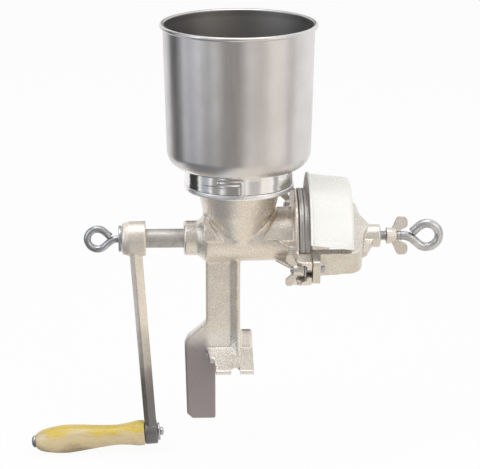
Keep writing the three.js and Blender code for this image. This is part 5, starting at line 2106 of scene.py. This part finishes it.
@dataclass
class Crank:
    """Crank arm with its clamp screw, washer and turned grip. Sizes in millimetres."""

    frame: Frame
    radius: float = 195.5
    lean: float = 4.0
    hub_r: float = 16.7
    hub_out: float = 10.6
    arm_top: tuple[float, float] = (12.0, 24.0)
    arm_low: tuple[float, float] = (11.4, 18.0)
    eye_r: float = 11.5
    eye_t: float = 12.4
    grip_l: float = 105.4
    bolt_r: float = 3.0
    shaft_hole_d: float = 18.6

    @property
    def eye_x(self) -> float:
        """Where the crank's eye sits along the shaft."""
        spin = next(j for j in self.frame.loaded["joints"] if j["name"] == "grip_spin")
        return spin["pos_m"][0] / MM

    def at_eye(self) -> Matrix:
        """Place of a piece that is drawn about the handle's own axis."""
        return shift(self.eye_x, 0, -self.radius) @ about("Y", -self.lean)

    def arm_bar(self, hub_x: float) -> Piece:
        """Six-sided tapered bar from the hub to the eye, with a ridge down its front and back.

        Args:
            hub_x: Where the hub sits along the shaft.

        Returns:
            The bar.
        """
        (t0, w0), (t1, w1) = self.arm_top, self.arm_low
        section = [(-0.5, -0.225), (-0.125, -0.5), (0.5, -0.3), (0.5, 0.3), (-0.125, 0.5), (-0.5, 0.225)]
        bar = outlined([(hub_x + x * t0, y * w0) for x, y in section], 0, "xy")
        with editing(bar):
            along = (self.eye_x - hub_x, 0, -self.radius)
            bpy.ops.mesh.extrude_region_move(TRANSFORM_OT_translate={"value": along})
            foot = (self.eye_x, 0, -self.radius)
            bpy.ops.transform.resize(value=(t1 / t0, w1 / w0, 1), center_override=foot)
            bpy.ops.mesh.select_all(action="SELECT")
            bpy.ops.mesh.normals_make_consistent(inside=False)
        return bar

    def arm(self) -> Piece:
        """Crank arm with its hub and eye as one casting.

        Returns:
            The arm.
        """
        left = self.frame.low("crank_arm").x
        hub_x = self.eye_x - self.radius * math.tan(math.radians(self.lean))
        right, r = hub_x + self.hub_out, self.hub_r
        hub = turned(softened([
            (r - 5, left), (r - 3.4, left, 0.5), (r - 1.6, left + 1.5, 1), (r - 0.2, left + 7, 3),
            (r, right, 1.2), (r - 2, right),
        ], 4))
        eye = applied(rod(2 * self.eye_r, -self.eye_t / 2, self.eye_t / 2, chamfer=1), self.at_eye())
        arm = fused([hub, self.arm_bar(hub_x), eye], 0.6, 2)
        shaft_hole = rod(self.shaft_hole_d, left - 2, right + 2)
        bolt_hole = applied(rod(2 * self.bolt_r + 0.6, -12, 12), self.at_eye())
        return cut(arm, shaft_hole, bolt_hole)

    def grip(self) -> Piece:
        """Turned wooden grip, with a belly near its end and a waist near the crank.

        Returns:
            The grip.
        """
        root = -self.eye_t / 2 - 0.3
        end = root - self.grip_l
        knots = [
            (end, 6.5), (end + 5, 9.9), (end + 14, 12.1), (end + 28, 13.6), (end + 42, 12.9),
            (end + 62, 10.9), (end + 78, 9.9), (end + 90, 10.8), (root - 6, 12.3), (root, 12.0),
        ]
        outside = smooth_through(knots, 7)
        bore = self.bolt_r + 0.3
        levels = [(bore, end), *((radius, place) for place, radius in outside), (bore, root), (bore, end)]
        return applied(turned(levels, sides=96, ring=True), self.at_eye())

    def handle_bolt(self) -> Piece:
        """Rod through the grip with a domed cap at one end and a peened tail at the other.

        Returns:
            The bolt.
        """
        head = -self.eye_t / 2 - 0.6 - self.grip_l
        tail = self.eye_t / 2 + 2.5
        r = self.bolt_r
        return applied(turned(softened([
            (1.0, head - 3.6, 0.3), (3.2, head - 3.6, 1.2), (5.8, head - 2.0, 1.4), (5.8, head, 0.4),
            (r, head, 0.2), (r, tail + 0.3, 0.2), (r + 1.1, tail + 0.5, 0.5), (r + 0.9, tail + 2.6, 0.5),
            (r - 0.4, tail + 3.6, 0.4), (0.8, tail + 3.6),
        ], 4), sides=48), self.at_eye())

    def build(self, finishes: Finishes) -> None:
        """Makes the crank and everything on it.

        Args:
            finishes: All finishes.
        """
        deliver = self.frame.deliver
        deliver(self.arm(), "crank_arm", Slot.DARK, finishes.crank, 45)
        deliver(self.grip(), "handle_grip", Slot.WOOD, finishes.wood, 45)
        deliver(self.handle_bolt(), "handle_bolt", Slot.PLATED, finishes.plated)
        ring = washer(outer=17, inner=6.6, start=self.eye_t / 2 + 0.3, thickness=2.2)
        ring = applied(ring, self.at_eye())
        deliver(ring, "handle_washer", Slot.PLATED, finishes.plated)
        start = self.frame.low("crank_washer").x
        ring = washer(outer=25, inner=8.6, start=start, thickness=2.6)
        deliver(ring, "crank_washer", Slot.PLATED, finishes.plated)
        tip, end = self.frame.high("crank_eye_screw").x, self.frame.low("crank_eye_screw").x
        screw = EyeScrew(shank_d=8.0, shank_l=0.0, eye_d=7.0, loop_r=9.7)
        neck = end + screw.loop_r * 2.5 + screw.eye_d / 2
        screw.shank_l = tip - neck
        place = shift(neck) @ about("Z", 180)
        deliver(applied(screw.build(), place), "crank_eye_screw", Slot.PLATED, finishes.plated)


# ---- studio


@dataclass(frozen=True)
class Lamp:
    """Square soft lamp: where it stands, its side in metres, its power in watts and its colour."""

    name: str
    place: tuple[float, float, float]
    size: float
    power: float
    colour: Colour


@dataclass(frozen=True)
class Card:
    """Upright card round the mill that only its reflections see.

    Attributes:
        name: Card's name.
        azimuth: Where it stands, in degrees from the front towards the right.
        width: How wide it looks from the mill, in degrees.
        shade: How bright it is, where 1 is white.
        tint: Its colour.
        soft: Share of the width over which each upright edge fades out.
        height: Its height above the floor, in metres.
        distance: Its distance from the hopper's axis, in metres.
    """

    name: str
    azimuth: float
    width: float
    shade: float
    tint: Colour = (1.0, 1.0, 1.0)
    soft: float = 0.3
    height: float = 1.1
    distance: float = 0.6


@dataclass(frozen=True)
class Table:
    """Flat card on the floor that only the mill's reflections see.

    Attributes:
        name: Card's name.
        low: Its left front corner, in metres.
        high: Its right back corner, in metres.
        shade: How bright it is, where 1 is white.
        tint: Its colour.
        soft: Share of the width over which each side fades out.
    """

    name: str
    low: tuple[float, float]
    high: tuple[float, float]
    shade: float
    tint: Colour
    soft: float = 0.2


LAMPS = (
    Lamp("left_window", (-2.1, -0.9, 1.2), 1.8, 30, (0.82, 0.9, 1.0)),
    Lamp("right_window", (1.5, -1.6, 0.9), 1.4, 14, (1.0, 0.94, 0.85)),
    Lamp("top_light", (0.0, -0.2, 2.2), 1.6, 14, (1.0, 1.0, 1.0)),
)
WARM, CREAM, COOL = (1.0, 0.95, 0.88), (1.0, 0.95, 0.9), (0.86, 0.91, 1.0)
CARDS = (
    Card("front_dark", -12, 56, 0.27, CREAM),
    Card("front_right_grey", 30, 36, 0.54, (1.0, 0.96, 0.9)),
    Card("right_warm", 56, 24, 0.95, WARM),
    Card("right_dark", 80, 18, 0.42, CREAM),
    Card("front_left_grey", -50, 26, 0.32),
    Card("left_cool", -77, 30, 0.5, COOL),
    Card("left_dark", -112, 38, 0.04, soft=0.15),
    Card("back_dark", 180, 26, 0.12),
    Card("low_left", -76, 46, 0.08, COOL, soft=0.08, height=0.105, distance=0.54),
    Card("low_front", -30, 50, 0.2, WARM, soft=0.08, height=0.105, distance=0.54),
    Card("low_right", 36, 56, 0.85, WARM, soft=0.12, height=0.105, distance=0.54),
)
TABLES = (
    Table("table_left", (-0.7, -0.75), (-0.03, 0.1), 0.24, (0.92, 0.94, 1.0)),
    Table("table_right", (-0.06, -0.75), (0.7, 0.1), 0.86, (1.0, 0.94, 0.84), 0.08),
)


@dataclass
class Studio:
    """Pale floor, soft lamps, reflection cards and the camera.

    Attributes:
        low: Lowest corner of the mill, in metres.
        focus: Point that the camera looks at, in metres.
        azimuth: Camera's turn round the mill, in degrees.
        elevation: Camera's height above the horizon, in degrees.
        distance: Camera to focus, in metres.
        lens: Focal length on a 36 mm sensor.
    """

    low: Vector
    focus: Vector
    azimuth: float = -2.6
    elevation: float = 16.0
    distance: float = 2.25
    lens: float = 177.6

    def floor(self) -> None:
        """Wide pale floor that keeps the mill's shadow."""
        floor = added(bpy.ops.mesh.primitive_plane_add, size=60, location=(0, 0, self.low.z - 0.0005))
        floor.name = "studio_floor"
        material = bpy.data.materials.new("Pale floor")
        material.use_nodes = True
        nodes, links = material.node_tree.nodes, material.node_tree.links
        nodes.clear()
        output = nodes.new("ShaderNodeOutputMaterial")
        mixed = nodes.new("ShaderNodeMixShader")
        matt = nodes.new("ShaderNodeBsdfDiffuse")
        glow = nodes.new("ShaderNodeEmission")
        matt.inputs["Color"].default_value = (0.9, 0.9, 0.9, 1)
        glow.inputs["Strength"].default_value = 1.0
        links.new(self.seen_share(nodes, links, 0.93, 0.35), mixed.inputs["Fac"])
        links.new(matt.outputs[0], mixed.inputs[1])
        links.new(glow.outputs[0], mixed.inputs[2])
        links.new(mixed.outputs[0], output.inputs["Surface"])
        floor.data.materials.append(material)
        floor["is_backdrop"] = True

    @staticmethod
    def seen_share(
        nodes: bpy.types.Nodes, links: bpy.types.NodeLinks, seen: float, other: float
    ) -> Socket:
        """One value for camera, glossy and transmission rays, and another for the rest.

        Args:
            nodes: Nodes of the material or the world.
            links: Its links.
            seen: Value for the rays that see it.
            other: Value for the rest.

        Returns:
            The value.
        """
        path = nodes.new("ShaderNodeLightPath")
        first = nodes.new("ShaderNodeMath")
        second = nodes.new("ShaderNodeMath")
        span = nodes.new("ShaderNodeMapRange")
        first.operation = second.operation = "MAXIMUM"
        links.new(path.outputs["Is Camera Ray"], first.inputs[0])
        links.new(path.outputs["Is Glossy Ray"], first.inputs[1])
        links.new(first.outputs[0], second.inputs[0])
        links.new(path.outputs["Is Transmission Ray"], second.inputs[1])
        span.inputs["To Min"].default_value = other
        span.inputs["To Max"].default_value = seen
        links.new(second.outputs[0], span.inputs["Value"])
        return span.outputs["Result"]

    def world(self) -> None:
        """White surroundings, dimmer as a light than as a background."""
        world = bpy.data.worlds.new("Studio")
        world.use_nodes = True
        bpy.context.scene.world = world
        nodes, links = world.node_tree.nodes, world.node_tree.links
        background = nodes["Background"]
        background.inputs["Color"].default_value = (1, 1, 1, 1)
        links.new(self.seen_share(nodes, links, 1.0, 0.5), background.inputs["Strength"])

    def lamp(self, lamp: Lamp) -> None:
        """Places one lamp, pointing at the mill and out of the camera's sight.

        Args:
            lamp: The lamp.
        """
        light = added(bpy.ops.object.light_add, type="AREA", location=lamp.place)
        light.name = lamp.name
        light.data.size = lamp.size
        light.data.energy = lamp.power
        light.data.color = lamp.colour
        light.visible_camera = False
        aim = self.focus - light.location
        light.rotation_euler = aim.to_track_quat("-Z", "Y").to_euler()

    def card(self, card: Card) -> None:
        """Places one card on the floor, facing the hopper's axis.

        Args:
            card: The card.
        """
        width = 2 * card.distance * math.tan(math.radians(card.width / 2))
        middle = self.low.z + card.height / 2
        plane = added(bpy.ops.mesh.primitive_plane_add, size=1)
        plane.name = f"card_{card.name}"
        turn = about("Z", card.azimuth)
        place = shift(0, -card.distance, middle)
        upright = about("X", 90)
        self.reflected(plane, card, turn @ place @ upright @ Matrix.Diagonal((width, card.height, 1, 1)))

    def table(self, table: Table) -> None:
        """Lays one card on the floor.

        Args:
            table: The card.
        """
        (x0, y0), (x1, y1) = table.low, table.high
        plane = added(bpy.ops.mesh.primitive_plane_add, size=1)
        plane.name = f"card_{table.name}"
        place = shift((x0 + x1) / 2, (y0 + y1) / 2, self.low.z + 0.0005)
        self.reflected(plane, table, place @ Matrix.Diagonal((x1 - x0, y1 - y0, 1, 1)))

    def reflected(self, plane: Piece, card: Card | Table, matrix: Matrix) -> None:
        """Places a card and hides it from everything but reflections.

        Args:
            plane: Its plane.
            card: What it is.
            matrix: Its place and size.
        """
        applied(plane, matrix)
        plane.data.materials.append(self.card_material(card))
        plane.visible_camera = plane.visible_shadow = plane.visible_diffuse = False
        plane.visible_transmission = plane.visible_volume_scatter = False
        plane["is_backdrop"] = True

    @staticmethod
    def card_material(card: Card | Table) -> bpy.types.Material:
        """Plain glow that fades out towards the card's sides.

        Args:
            card: The card that it is for.

        Returns:
            The material.
        """
        material = bpy.data.materials.new(f"{card.name} card")
        material.use_nodes = True
        nodes, links = material.node_tree.nodes, material.node_tree.links
        nodes.clear()
        output, glow = nodes.new("ShaderNodeOutputMaterial"), nodes.new("ShaderNodeEmission")
        clear, mixed = nodes.new("ShaderNodeBsdfTransparent"), nodes.new("ShaderNodeMixShader")
        place, split = nodes.new("ShaderNodeTexCoord"), nodes.new("ShaderNodeSeparateXYZ")
        offset, fade = nodes.new("ShaderNodeMath"), nodes.new("ShaderNodeMapRange")
        glow.inputs["Color"].default_value = (*card.tint, 1)
        glow.inputs["Strength"].default_value = card.shade
        links.new(place.outputs["UV"], split.inputs["Vector"])
        links.new(split.outputs["X"], offset.inputs[0])
        offset.operation = "PINGPONG"
        offset.inputs[1].default_value = 0.5
        fade.interpolation_type = "SMOOTHSTEP"
        fade.inputs["From Max"].default_value = card.soft
        links.new(offset.outputs[0], fade.inputs["Value"])
        links.new(fade.outputs["Result"], mixed.inputs["Fac"])
        links.new(clear.outputs[0], mixed.inputs[1])
        links.new(glow.outputs[0], mixed.inputs[2])
        links.new(mixed.outputs[0], output.inputs["Surface"])
        return material

    def camera(self) -> None:
        """Long lens in front of the mill, a little to the left and above."""
        a, e = math.radians(self.azimuth), math.radians(self.elevation)
        back = Vector((math.sin(a) * math.cos(e), -math.cos(a) * math.cos(e), math.sin(e)))
        camera = added(bpy.ops.object.camera_add, location=self.focus + back * self.distance)
        camera.rotation_euler = (-back).to_track_quat("-Z", "Y").to_euler()
        camera.data.lens = self.lens
        camera.data.sensor_width = 36
        bpy.context.scene.camera = camera

    def build(self) -> None:
        """Sets up the studio."""
        self.floor()
        self.world()
        for lamp in LAMPS:
            self.lamp(lamp)
        for card in CARDS:
            self.card(card)
        for table in TABLES:
            self.table(table)
        self.camera()
        bpy.context.scene.view_settings.view_transform = "Standard"


def main() -> None:
    """Builds the mill and the studio."""
    logging.basicConfig(level=logging.INFO, format="%(name)s %(message)s")
    frame = Frame(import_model())
    cad_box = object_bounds()
    finishes = Finishes.made(frame)
    builders: list[Callable[[Finishes], None]] = [
        Hopper(frame).build, MillBody(frame).build, FeedScrew(frame).build, Burrs(frame).build,
        Bridge(frame).build, Adjuster(frame).build, Guard(frame).build, Crank(frame).build,
    ]
    for build in builders:
        build(finishes)
    focus = Vector((0.0011, 0, frame.shaft_height + 0.0028))
    Studio(cad_box[0], focus).build()


if __name__ == "__main__":
    main()
